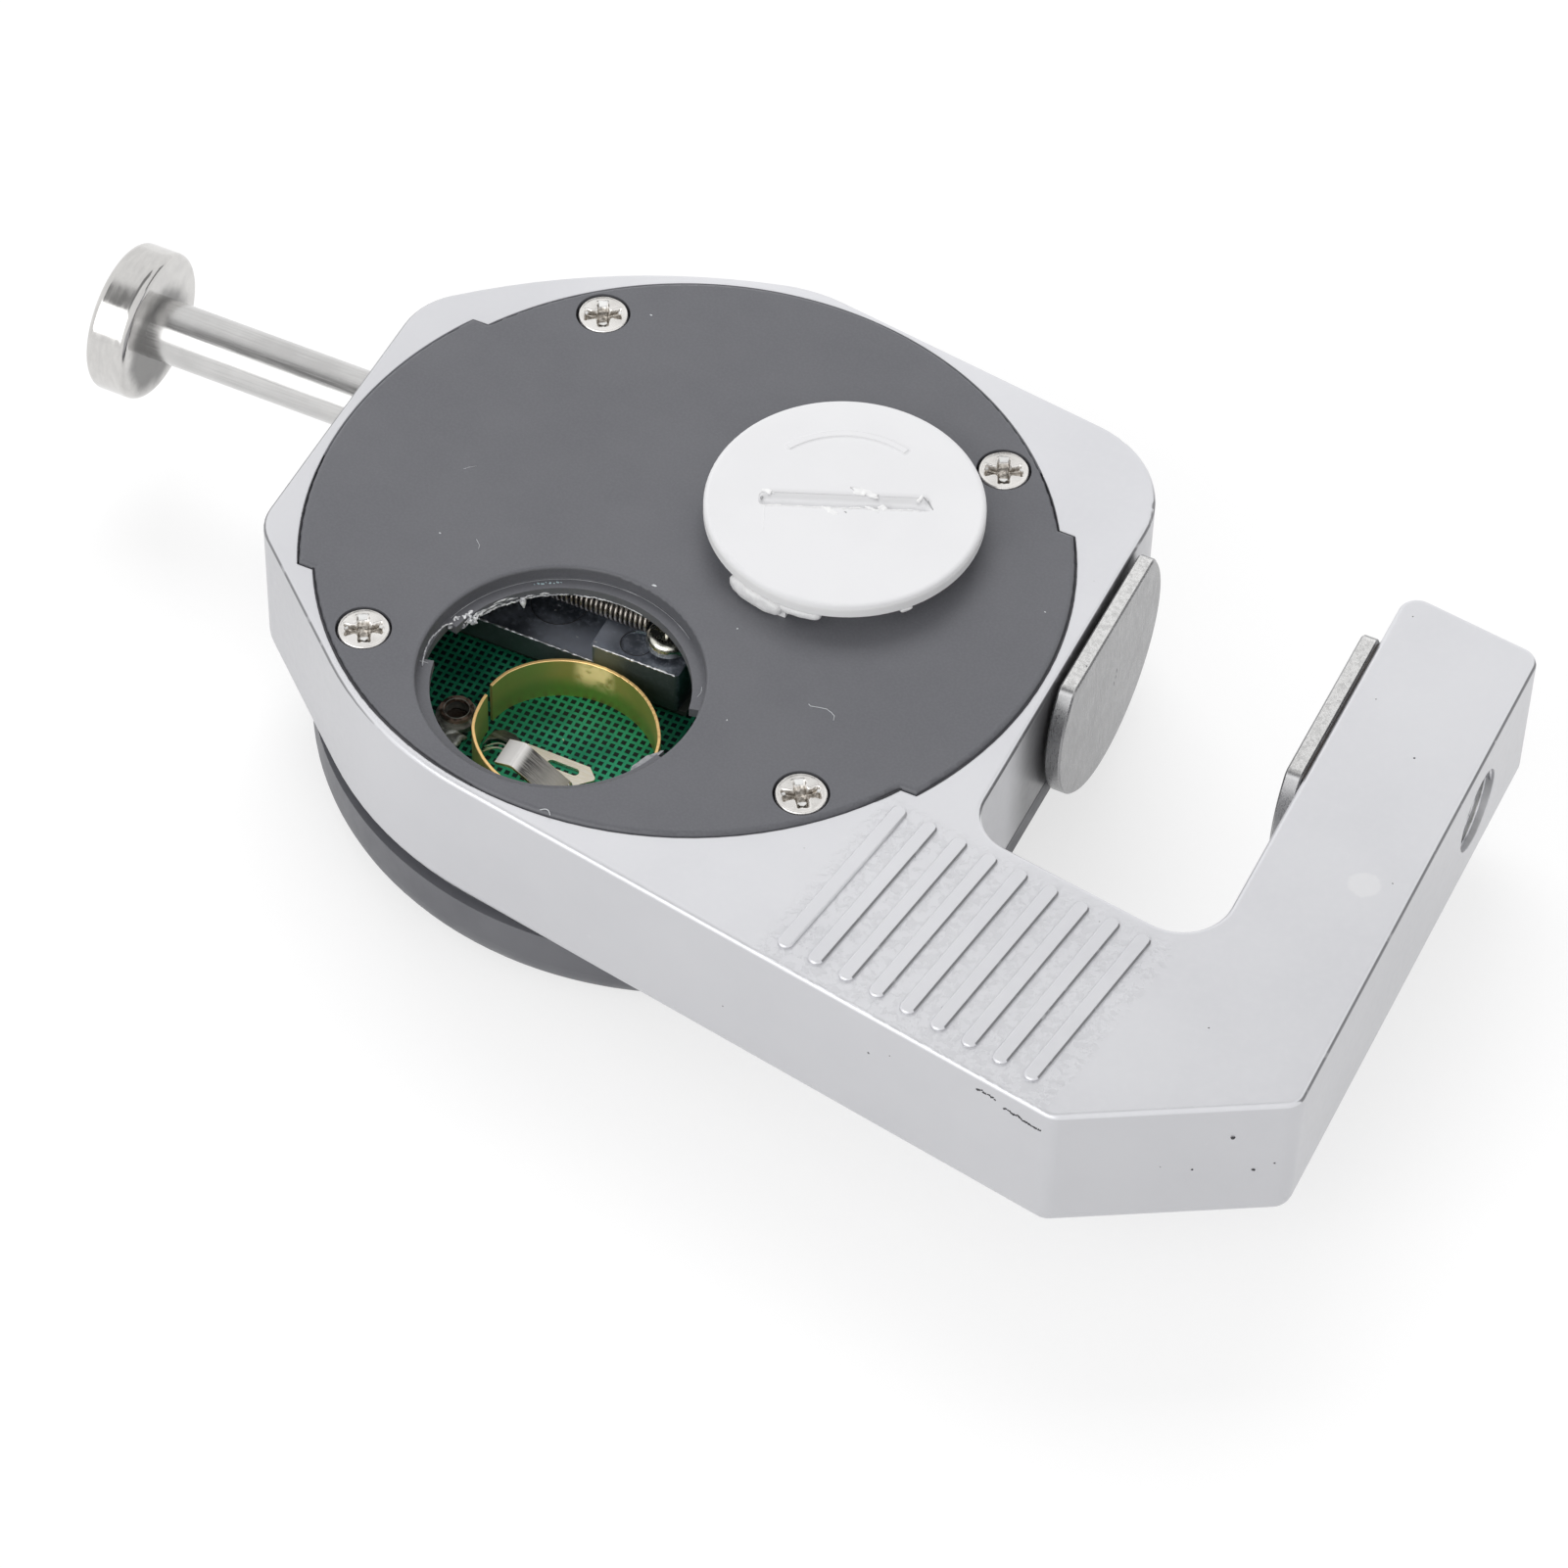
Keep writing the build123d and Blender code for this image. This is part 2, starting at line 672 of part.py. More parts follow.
# Controller chip under its round blob of resin
with BuildPart() as controller_chip:
    with BuildSketch(Plane.XY.offset(board_bottom - chip_height)):
        with Locations((0, chip_y)):
            Circle(chip_radius)
    extrude(amount=chip_height)
    fillet(controller_chip.faces().sort_by(Axis.Z)[0].edges(), chip_round)
controller_chip.part.label = "controller_chip"

# Three switch domes under the board
with BuildPart() as switch_domes:
    with BuildSketch(Plane.XY.offset(board_bottom - switch_height)):
        with Locations(*button_places):
            Circle(switch_radius)
    extrude(amount=switch_height)
    chamfer(switch_domes.faces().sort_by(Axis.Z)[: len(button_places)].edges(), switch_bevel)
switch_domes.part.label = "switch_domes"


def make_button(place, name):
    """Push button: face in its hole, flange behind the face, stem up to its switch."""
    stem_top = board_bottom - switch_height - button_travel - switch_gap
    flange_bottom = housing_face + button_flange_gap
    with BuildPart() as button:
        with BuildSketch(Plane.XY.offset(button_recess)):
            with Locations(place):
                Circle(button_radius)
        extrude(amount=flange_bottom - button_recess)
        fillet(button.faces().sort_by(Axis.Z)[0].edges(), button_recess)
        with BuildSketch(Plane.XY.offset(flange_bottom)):
            with Locations(place):
                Circle(button_flange)
        extrude(amount=button_flange_thickness)
        with BuildSketch(Plane.XY.offset(flange_bottom + button_flange_thickness)):
            with Locations(place):
                Circle(button_stem_radius)
        extrude(amount=stem_top - flange_bottom - button_flange_thickness)
    button.part.label = name
    return button.part


buttons = {
    name: make_button(place, name)
    for name, place in zip(("unit_button", "zero_button", "power_button"), button_places)
}

# Battery ring: split spring-brass contact round the cell
ring_middle = ring_inner_radius + ring_thickness / 2
with BuildPart() as battery_ring:
    with BuildSketch(Plane.XY.offset(board_top)):
        with Locations((well_x, well_y)):
            Circle(ring_inner_radius + ring_thickness)
            Circle(ring_inner_radius, mode=Mode.SUBTRACT)
        slit_at = (
            well_x + ring_middle * cos(radians(ring_slit_angle)),
            well_y + ring_middle * sin(radians(ring_slit_angle)),
        )
        with Locations(Location(slit_at, ring_slit_angle)):
            Rectangle(4 * ring_thickness, ring_slit, mode=Mode.SUBTRACT)
    extrude(amount=ring_height)
battery_ring.part.label = "battery_ring"

# Leaf contact: slotted base on the board, and a spring tongue folded back beside it
leaf_end_x = well_x + leaf_reach
leaf_base_y = well_y + leaf_base_shift
leaf_web_x = leaf_end_x - leaf_point - leaf_web
leaf_tongue_y = leaf_base_y - leaf_base_width / 2 - leaf_tongue_gap - leaf_tongue_width / 2
leaf_points = (
    (0, leaf_thickness / 2),
    (leaf_fold, leaf_thickness / 2),
    (-leaf_crest, leaf_rise - leaf_thickness / 2),
    (-leaf_crest - leaf_tip, leaf_rise - leaf_tip_drop - leaf_thickness / 2),
)
with BuildPart() as leaf_contact:
    with BuildSketch(Plane.XY.offset(board_top)) as leaf_base:
        with Locations((leaf_end_x, leaf_base_y)):
            Rectangle(leaf_base_length, leaf_base_width, align=(Align.MAX, Align.CENTER))
        chamfer(leaf_base.vertices().group_by(Axis.X)[-1], leaf_point)
        with Locations((leaf_web_x, leaf_base_y)):
            Rectangle(
                leaf_web, leaf_base_y - leaf_tongue_y + leaf_tongue_width / 2, align=(Align.MIN, Align.MAX)
            )
        with Locations((leaf_end_x - leaf_slot_inset, leaf_base_y)):
            SlotOverall(leaf_slot_length, leaf_slot_width, mode=Mode.SUBTRACT)
    extrude(amount=leaf_thickness)
    with BuildSketch(Plane(origin=(leaf_web_x, leaf_tongue_y, board_top), x_dir=(1, 0, 0), z_dir=(0, -1, 0))):
        with BuildLine():
            FilletPolyline(*leaf_points, radius=leaf_bend)
        trace(line_width=leaf_thickness)
    extrude(amount=leaf_tongue_width / 2, both=True)
leaf_contact.part.label = "leaf_contact"

# Hollow brass eyelet beside the ring
eyelet_place = (well_x + eyelet_shift[0], well_y + eyelet_shift[1])
with BuildPart() as contact_eyelet:
    with BuildSketch(Plane.XY.offset(board_top)):
        with Locations(eyelet_place):
            Circle(eyelet_radius)
    extrude(amount=eyelet_height)
    with BuildSketch(Plane.XY.offset(board_top)):
        with Locations(eyelet_place):
            Circle(eyelet_flange)
    extrude(amount=eyelet_flange_thickness)
    with BuildSketch(Plane.XY.offset(board_top)):
        with Locations(eyelet_place):
            Circle(eyelet_bore)
    extrude(amount=eyelet_height, mode=Mode.SUBTRACT)
contact_eyelet.part.label = "contact_eyelet"


def make_bush(side, name):
    """Plain bearing bush pressed into one wall of the frame from inside the cavity."""
    outer_end = frame_half_width - bush_lip
    with BuildPart() as bush:
        with BuildSketch(on_axis(side * outer_end)):
            Circle(bush_radius)
            Circle(spindle_radius + spindle_running_gap, mode=Mode.SUBTRACT)
        extrude(amount=-side * (outer_end - cavity_wall_x))
    bush.part.label = name
    return bush.part


left_bush = make_bush(-1, "left_bush")
right_bush = make_bush(1, "right_bush")

# Spindle: ground rod from the plunger cap through both bushes to the moving anvil
with BuildPart() as spindle:
    with BuildSketch(on_axis(cap_inner_x - cap_socket_depth)):
        Circle(spindle_radius)
    extrude(amount=cap_socket_depth - cap_inner_x + moving_anvil_x)
    with BuildSketch(on_axis(moving_anvil_x)):
        Circle(anvil_socket_radius)
    extrude(amount=anvil_socket_depth)
spindle.part.label = "spindle"

# Plunger cap for the thumb
with BuildPart() as plunger_cap:
    with BuildSketch(on_axis(cap_inner_x - cap_thickness)):
        Circle(cap_radius)
    extrude(amount=cap_thickness)
    fillet(plunger_cap.edges(), cap_edge_round)
    with BuildSketch(on_axis(cap_inner_x - cap_socket_depth)):
        Circle(spindle_radius)
    extrude(amount=cap_socket_depth, mode=Mode.SUBTRACT)
plunger_cap.part.label = "plunger_cap"

# Moving anvil
with BuildPart() as moving_anvil:
    with BuildSketch(on_axis(moving_anvil_x)):
        add(anvil_outline())
    extrude(amount=anvil_thickness)
    chamfer(moving_anvil.faces().filter_by(Axis.X).edges(), anvil_edge_bevel)
    with BuildSketch(on_axis(moving_anvil_x)):
        Circle(anvil_socket_radius)
    extrude(amount=anvil_socket_depth, mode=Mode.SUBTRACT)
moving_anvil.part.label = "moving_anvil"

# Fixed anvil with its shoulder and stem in the arm
stem_end_x = arm_outer_x - anvil_screw_hole_depth
with BuildPart() as fixed_anvil:
    with BuildSketch(on_axis(fixed_anvil_x)):
        add(anvil_outline())
    extrude(amount=anvil_thickness)
    chamfer(fixed_anvil.faces().filter_by(Axis.X).edges(), anvil_edge_bevel)
    with BuildSketch(on_axis(fixed_anvil_x + anvil_thickness)):
        Circle(fixed_anvil_shoulder_radius)
    extrude(amount=arm_inner_x - fixed_anvil_x - anvil_thickness)
    with BuildSketch(on_axis(arm_inner_x)):
        Circle(fixed_anvil_stem_radius)
    extrude(amount=stem_end_x - arm_inner_x)
    with BuildSketch(on_axis(stem_end_x - anvil_screw_grip)):
        Circle(anvil_screw_radius)
    extrude(amount=anvil_screw_grip, mode=Mode.SUBTRACT)
fixed_anvil.part.label = "fixed_anvil"

# Screw that draws the fixed anvil's stem into the arm
with BuildPart() as anvil_screw:
    with BuildSketch(on_axis(stem_end_x - anvil_screw_grip)):
        Circle(anvil_screw_radius)
    extrude(amount=anvil_screw_grip)
    with BuildSketch(on_axis(stem_end_x)):
        Circle(anvil_screw_head_radius)
    extrude(amount=anvil_screw_head_height)
    with BuildSketch(on_axis(stem_end_x + anvil_screw_head_height - hex_key_depth)):
        RegularPolygon(hex_key_across / 2, 6, major_radius=False)
    extrude(amount=hex_key_depth, mode=Mode.SUBTRACT)
anvil_screw.part.label = "anvil_screw"

# Carriage: casting on the spindle, with a low deck, a raised pad and a guide ear
with BuildPart() as carriage:
    with BuildSketch(Plane.XY.offset(carriage_bottom_z)):
        with Locations((carriage_left_x, carriage_near_y)):
            Rectangle(carriage_length, carriage_far_y - carriage_near_y, align=(Align.MIN, Align.MIN))
    extrude(amount=carriage_deck)
    with BuildSketch(Plane.XY.offset(deck_top)):
        with Locations((carriage_right_x, carriage_near_y)):
            Rectangle(carriage_pad_length, carriage_far_y - carriage_near_y, align=(Align.MAX, Align.MIN))
    extrude(amount=carriage_pad)
    with BuildSketch(Plane.XY.offset(carriage_bottom_z)):
        with Locations((carriage_left_x, block_near_y)):
            Rectangle(carriage_length, carriage_far_y - block_near_y, align=(Align.MIN, Align.MIN))
        with Locations((ear_left_x, carriage_far_y)):
            Rectangle(ear_length, ear_far_y - carriage_far_y, align=(Align.MIN, Align.MIN))
    extrude(amount=block_top - carriage_bottom_z)
    near_corners = carriage.edges().filter_by(Axis.Z).group_by(Axis.Y)[0]
    fillet(near_corners, carriage_edge_round)
    with BuildSketch(on_axis(carriage_left_x)):
        Circle(spindle_radius)
    extrude(amount=carriage_length, mode=Mode.SUBTRACT)
    with BuildSketch(on_guide(ear_left_x)):
        Circle(guide_rod_radius + guide_rod_gap)
    extrude(amount=ear_length, mode=Mode.SUBTRACT)
    # Shallow round marks of the casting's ejector pins
    with BuildSketch(Plane.XY.offset(deck_top - mark_depth)):
        with Locations((carriage_left_x + mark_from_left, carriage_near_y + mark_from_edge)):
            Circle(mark_radius)
    extrude(amount=mark_depth, mode=Mode.SUBTRACT)
    with BuildSketch(Plane.XY.offset(pad_top - mark_depth)):
        with Locations((carriage_right_x - small_mark_from_right, carriage_near_y + small_mark_from_edge)):
            Circle(small_mark_radius)
    extrude(amount=mark_depth, mode=Mode.SUBTRACT)
    # Threaded holes for the spring screw and the clamp screw
    with BuildSketch(Plane.XY.offset(pan_head_bottom - pan_shank_length)):
        with Locations((spring_right_x, hook_y)):
            Circle(pan_shank_radius)
    extrude(amount=pan_shank_length, mode=Mode.SUBTRACT)
    with BuildSketch(Plane.XY.offset(spindle_z + spindle_radius)):
        with Locations((clamp_screw_x, spindle_y)):
            Circle(clamp_screw_radius)
    extrude(amount=block_top - spindle_z, mode=Mode.SUBTRACT)
    with BuildSketch(Plane.XY.offset(block_top - clamp_screw_sunk)):
        with Locations((clamp_screw_x, spindle_y)):
            Circle(clamp_screw_head_radius)
    extrude(amount=clamp_screw_sunk, mode=Mode.SUBTRACT)
carriage.part.label = "carriage"

# Clamp screw that holds the carriage on the spindle
with BuildPart() as clamp_screw:
    with BuildSketch(Plane.XY.offset(spindle_z + spindle_radius)):
        with Locations((clamp_screw_x, spindle_y)):
            Circle(clamp_screw_radius)
    extrude(amount=block_top - clamp_screw_sunk - spindle_z - spindle_radius)
    with BuildSketch(Plane.XY.offset(block_top - clamp_screw_sunk)):
        with Locations((clamp_screw_x, spindle_y)):
            Circle(clamp_screw_head_radius)
    extrude(amount=clamp_screw_head_height)
clamp_screw.part.label = "clamp_screw"

# Slider board carried under the carriage, just over the main board
with BuildPart() as slider_board:
    with BuildSketch(Plane.XY.offset(carriage_bottom_z - slider_thickness)):
        with Locations((carriage_left_x - slider_overhang, carriage_near_y + slider_near_inset)):
            Rectangle(
                carriage_length + 2 * slider_overhang,
                carriage_far_y - carriage_near_y - slider_near_inset - slider_far_inset,
                align=(Align.MIN, Align.MIN),
            )
    extrude(amount=slider_thickness)
slider_board.part.label = "slider_board"

# Guide rod that keeps the carriage and the anvil from turning
with BuildPart() as guide_rod:
    with BuildSketch(on_guide(-guide_rod_half)):
        Circle(guide_rod_radius)
    extrude(amount=2 * guide_rod_half)
guide_rod.part.label = "guide_rod"


def make_pan_screw(x, name):
    """Pan-head screw that one eye of the return spring hooks round."""
    with BuildPart() as screw:
        with BuildSketch(Plane.XY.offset(pan_head_bottom - pan_shank_length)):
            with Locations((x, hook_y)):
                Circle(pan_shank_radius)
        extrude(amount=pan_shank_length)
        with BuildSketch(Plane.XY.offset(pan_head_bottom)):
            with Locations((x, hook_y)):
                Circle(pan_head_radius)
        extrude(amount=pan_head_height)
        fillet(screw.faces().sort_by(Axis.Z)[-1].edges(), pan_head_round)
        with BuildSketch(Plane.XY.offset(pan_head_bottom + pan_head_height - pan_cross_depth)):
            with Locations((x, hook_y)):
                Rectangle(pan_cross_length, pan_cross_width)
                Rectangle(pan_cross_width, pan_cross_length)
        extrude(amount=pan_cross_depth, mode=Mode.SUBTRACT)
    screw.part.label = name
    return screw.part


anchor_screw = make_pan_screw(spring_left_x, "anchor_screw")
carriage_screw = make_pan_screw(spring_right_x, "carriage_screw")

# Return spring: close-wound coil with an eye at each end, as one hollow solid
eye_radius = pan_shank_radius + spring_eye_gap + spring_wire / 2
coil_left_x = spring_left_x + pan_head_radius + spring_eye_gap
coil_right_x = spring_right_x - pan_head_radius - spring_eye_gap
with BuildPart() as return_spring:
    with BuildSketch(on_spring(coil_left_x)):
        Circle(spring_radius)
        Circle(spring_radius - spring_wire, mode=Mode.SUBTRACT)
    extrude(amount=coil_right_x - coil_left_x)
    for eye_x, coil_x in ((spring_left_x, coil_left_x), (spring_right_x, coil_right_x)):
        inward = 1 if coil_x > eye_x else -1
        with BuildSketch(on_spring(coil_x)):
            Circle(spring_radius)
        extrude(amount=inward * spring_wire)
        with BuildSketch(Plane.XY.offset(eye_bottom)):
            with Locations((eye_x, hook_y)):
                Circle(eye_radius + spring_wire / 2)
                Circle(pan_shank_radius + spring_eye_gap, mode=Mode.SUBTRACT)
            with Locations(((eye_x + coil_x + inward * spring_wire) / 2, hook_y + eye_radius)):
                Rectangle(abs(coil_x - eye_x) + spring_wire, spring_wire)
        extrude(amount=spring_wire)
return_spring.part.label = "return_spring"

# Battery door: disc with a coin slot, a hollow boss and two bayonet lugs
door_bottom = cover_top + door_rest_gap
door_plane = Plane(
    origin=(door_x, door_y, door_bottom),
    x_dir=(cos(radians(door_turn)), sin(radians(door_turn)), 0),
    z_dir=(0, 0, 1),
)
with BuildPart() as battery_door:
    with BuildSketch(door_plane.offset(door_height - door_disc)):
        Circle(door_radius)
    extrude(amount=door_disc)
    fillet(battery_door.faces().sort_by(Axis.Z)[-1].edges(), door_edge_round)
    with BuildSketch(door_plane):
        Circle(door_boss_radius)
        Circle(door_boss_radius - door_boss_wall, mode=Mode.SUBTRACT)
        for start, end in door_lug_spans:
            add(ring_sector(door_boss_radius - door_boss_wall / 2, door_lug_radius, start, end))
    extrude(amount=door_height - door_disc)
    with BuildSketch(door_plane.offset(door_height - door_disc - door_step)):
        for start, end in door_step_spans:
            add(ring_sector(door_boss_radius - door_boss_wall / 2, door_lug_radius, start, end))
    extrude(amount=door_step)
    with BuildSketch(door_plane.offset(door_height - coin_slot_depth)):
        RectangleRounded(coin_slot_length, coin_slot_width, coin_slot_corner)
    extrude(amount=coin_slot_depth, mode=Mode.SUBTRACT)
    with BuildSketch(door_plane.offset(door_height)):
        add(ring_sector(door_arc_radius - door_arc_width, door_arc_radius,
                        90 - door_arc_span / 2, 90 + door_arc_span / 2))
    extrude(amount=door_arc_height)
battery_door.part.label = "battery_door"

pieces = [
    frame.part, back_cover.part, cover_screws.part, front_housing.part, display_window.part,
    display_panel.part, display_holder.part, zebra_strip.part, main_board.part, board_screws.part,
    controller_chip.part, switch_domes.part, *buttons.values(), battery_ring.part, leaf_contact.part,
    contact_eyelet.part, left_bush, right_bush, spindle.part, plunger_cap.part, moving_anvil.part,
    fixed_anvil.part, anvil_screw.part, carriage.part, clamp_screw.part, slider_board.part,
    guide_rod.part, anchor_screw, carriage_screw, return_spring.part, battery_door.part,
]
for piece in pieces:
    export_step(piece, f"parts/{piece.label}.step")
print(f"{len(pieces)} pieces, spindle travel {travel:.2f} mm")
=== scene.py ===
from math import copysign, cos, exp, hypot, pi, radians, sin, sqrt, tan

import bpy
from mathutils import Matrix, Vector, noise


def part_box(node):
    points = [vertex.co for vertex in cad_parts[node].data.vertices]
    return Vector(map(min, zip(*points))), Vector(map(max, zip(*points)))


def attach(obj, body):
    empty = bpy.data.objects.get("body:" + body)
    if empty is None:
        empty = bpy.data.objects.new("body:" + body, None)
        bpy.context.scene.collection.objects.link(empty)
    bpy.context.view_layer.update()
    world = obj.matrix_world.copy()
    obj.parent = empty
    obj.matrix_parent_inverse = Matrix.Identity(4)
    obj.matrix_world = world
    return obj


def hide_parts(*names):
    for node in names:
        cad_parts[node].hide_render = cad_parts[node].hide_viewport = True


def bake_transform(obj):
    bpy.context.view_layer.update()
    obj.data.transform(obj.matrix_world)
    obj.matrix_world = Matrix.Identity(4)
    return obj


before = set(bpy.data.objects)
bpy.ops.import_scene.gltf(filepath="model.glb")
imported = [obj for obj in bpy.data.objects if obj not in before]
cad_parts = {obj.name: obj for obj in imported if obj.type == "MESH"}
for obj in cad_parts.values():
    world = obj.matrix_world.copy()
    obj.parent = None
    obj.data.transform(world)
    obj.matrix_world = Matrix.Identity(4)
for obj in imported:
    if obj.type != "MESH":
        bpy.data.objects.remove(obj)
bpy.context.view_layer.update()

# Lengths are in millimetres, which add_mesh() turns into metres; floor, lights and camera are in metres
MM = 0.001
cover_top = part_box("back_cover")[1].z / MM
frame_top = cover_top - 0.2
board_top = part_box("main_board")[1].z / MM
near_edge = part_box("carriage")[0].y / MM
throat_wall = 24.2
arm_inner = 40.2
rib_turn = -8.5


def middle_of(node):
    """Middle of a CAD node's box, in millimetres."""
    low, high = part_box(node)
    return (low + high) / 2 / MM


well = middle_of("battery_ring")


# Materials
def feed(tree, socket, value):
    """Links a socket, or sets its value; a colour needs only its first three numbers."""
    if isinstance(value, bpy.types.NodeSocket):
        tree.links.new(value, socket)
    elif socket.type == "RGBA" and len(value) == 3:
        socket.default_value = (*value, 1)
    else:
        socket.default_value = value


def new_node(tree, kind, inputs=None, **settings):
    """Shader node with its settings and inputs."""
    made = tree.nodes.new("ShaderNode" + kind)
    for key, value in settings.items():
        setattr(made, key, value)
    for key, value in (inputs or {}).items():
        feed(tree, made.inputs[key], value)
    return made


class Finish:
    """A procedural material being put together over the object's own coordinates."""

    def __init__(self, name, **constants):
        self.material = bpy.data.materials.new(name)
        self.material.use_nodes = True
        self.tree = self.material.node_tree
        self.shader = self.tree.nodes["Principled BSDF"]
        self.set(**constants)
        coordinates = self.node("TexCoord").outputs["Object"]
        self.place = self.node("VectorMath", {0: coordinates, "Scale": 1 / MM}, operation="SCALE").outputs[0]

    def node(self, kind, inputs=None, **settings):
        return new_node(self.tree, kind, inputs, **settings)

    def set(self, **sockets):
        for key, value in sockets.items():
            name = key.replace("_", " ").title().replace("Ior", "IOR")
            feed(self.tree, self.shader.inputs[name], value)

    def math(self, operation, a, b):
        return self.node("Math", {0: a, 1: b}, operation=operation).outputs[0]

    def both(self, first, *others):
        """Product of two or more values."""
        for other in others:
            first = self.math("MULTIPLY", first, other)
        return first

    def turned(self, degrees):
        """The place in axes turned about Z."""
        if not degrees:
            return self.place
        inputs = {"Vector": self.place, "Angle": radians(-degrees)}
        return self.node("VectorRotate", inputs, rotation_type="Z_AXIS").outputs[0]

    def axis(self, letter, turn=0):
        return self.node("SeparateXYZ", {0: self.turned(turn)}).outputs[letter]

    def stretched(self, size, stretch, turn=0):
        scale = [1 / (size * s) for s in stretch]
        return self.node("VectorMath", {0: self.turned(turn), 1: scale}, operation="MULTIPLY").outputs[0]

    def distance(self, place, point):
        return self.node("VectorMath", {0: place, 1: point}, operation="DISTANCE").outputs["Value"]

    def noise(self, size, detail=3, stretch=(1, 1, 1), turn=0, roughness=0.55, distortion=0):
        inputs = {"Vector": self.stretched(size, stretch, turn), "Scale": 1, "Detail": detail}
        inputs.update({"Roughness": roughness, "Distortion": distortion})
        return self.node("TexNoise", inputs).outputs["Fac"]

    def span(self, value, low, high, to_low=0, to_high=1):
        """value from low to high, mapped smoothly from to_low to to_high and held there outside."""
        inputs = {"Value": value, "From Min": low, "From Max": high, "To Min": to_low, "To Max": to_high}
        return self.node("MapRange", inputs, interpolation_type="SMOOTHSTEP").outputs["Result"]

    def at(self, letter, low, high, to_low=0, to_high=1, turn=0):
        """Place along an axis, mapped as span() does."""
        return self.span(self.axis(letter, turn), low, high, to_low, to_high)

    def between(self, letter, start, full, fading, end, turn=0):
        """1 from full to fading along an axis, falling to 0 at start and end."""
        return self.both(self.at(letter, start, full, turn=turn), self.at(letter, end, fading, turn=turn))

    def specks(self, cell, radius, share, stretch=(1, 1, 1)):
        """Scattered ragged spots: one in a share of the cells of a grid of this size."""
        place = self.stretched(cell, stretch)
        ragged = self.node("TexNoise", {"Vector": place, "Scale": 5, "Detail": 2}).outputs["Color"]
        shift = self.node("VectorMath", {0: ragged, "Scale": 0.35}, operation="SCALE").outputs[0]
        moved = self.node("VectorMath", {0: place, 1: shift}, operation="ADD").outputs[0]
        cells = self.node("TexVoronoi", {"Vector": moved, "Scale": 1})
        near = self.span(cells.outputs["Distance"], radius / cell, 0.6 * radius / cell)
        chance = self.node("SeparateColor", {0: cells.outputs["Color"]}).outputs[0]
        return self.both(near, self.math("GREATER_THAN", chance, 1 - share))

    def mix(self, factor, a, b):
        return self.node("Mix", {0: factor, 6: a, 7: b}, data_type="RGBA").outputs[2]

    def paint(self, tone):
        """Base colour so far; tint() lays the next colour over it."""
        self.tone = tone
        self.set(base_color=tone)

    def tint(self, colour, *masks):
        """Lays a colour over the base colour by the product of the masks."""
        self.paint(self.mix(self.both(*masks), self.tone, colour))

    def clouded(self, a, b, size, low=0.35, high=0.65, **details):
        """Two colours mixed by noise of this size."""
        return self.mix(self.span(self.noise(size, **details), low, high), a, b)

    def rough(self, value, low, high):
        """Roughness that follows a noise value."""
        self.set(roughness=self.span(value, 0.3, 0.7, low, high))

    def edges(self, radius):
        """Where the surface turns a sharp edge within this radius, from 0 to 1."""
        plain = self.node("NewGeometry").outputs["Normal"]
        inputs = {0: self.soften(radius), 1: plain}
        same = self.node("VectorMath", inputs, operation="DOT_PRODUCT").outputs["Value"]
        return self.span(same, 0.98, 0.75)

    def facing(self, letter, low, high):
        """How far the surface faces along one axis, mapped from low..high to 0..1."""
        normal = self.node("NewGeometry").outputs["Normal"]
        return self.span(self.node("SeparateXYZ", {0: normal}).outputs[letter], low, high)

    def bump(self, height, depth, normal=None):
        """Relief of a depth in millimetres, over an earlier relief if one is given."""
        inputs = {"Height": height, "Distance": depth * MM, "Strength": 1}
        if normal is not None:
            inputs["Normal"] = normal
        return self.node("Bump", inputs).outputs[0]

    def soften(self, radius):
        """Shading normal with the sharp edges rounded within this radius."""
        return self.node("Bevel", {"Radius": radius * MM}, samples=6).outputs[0]


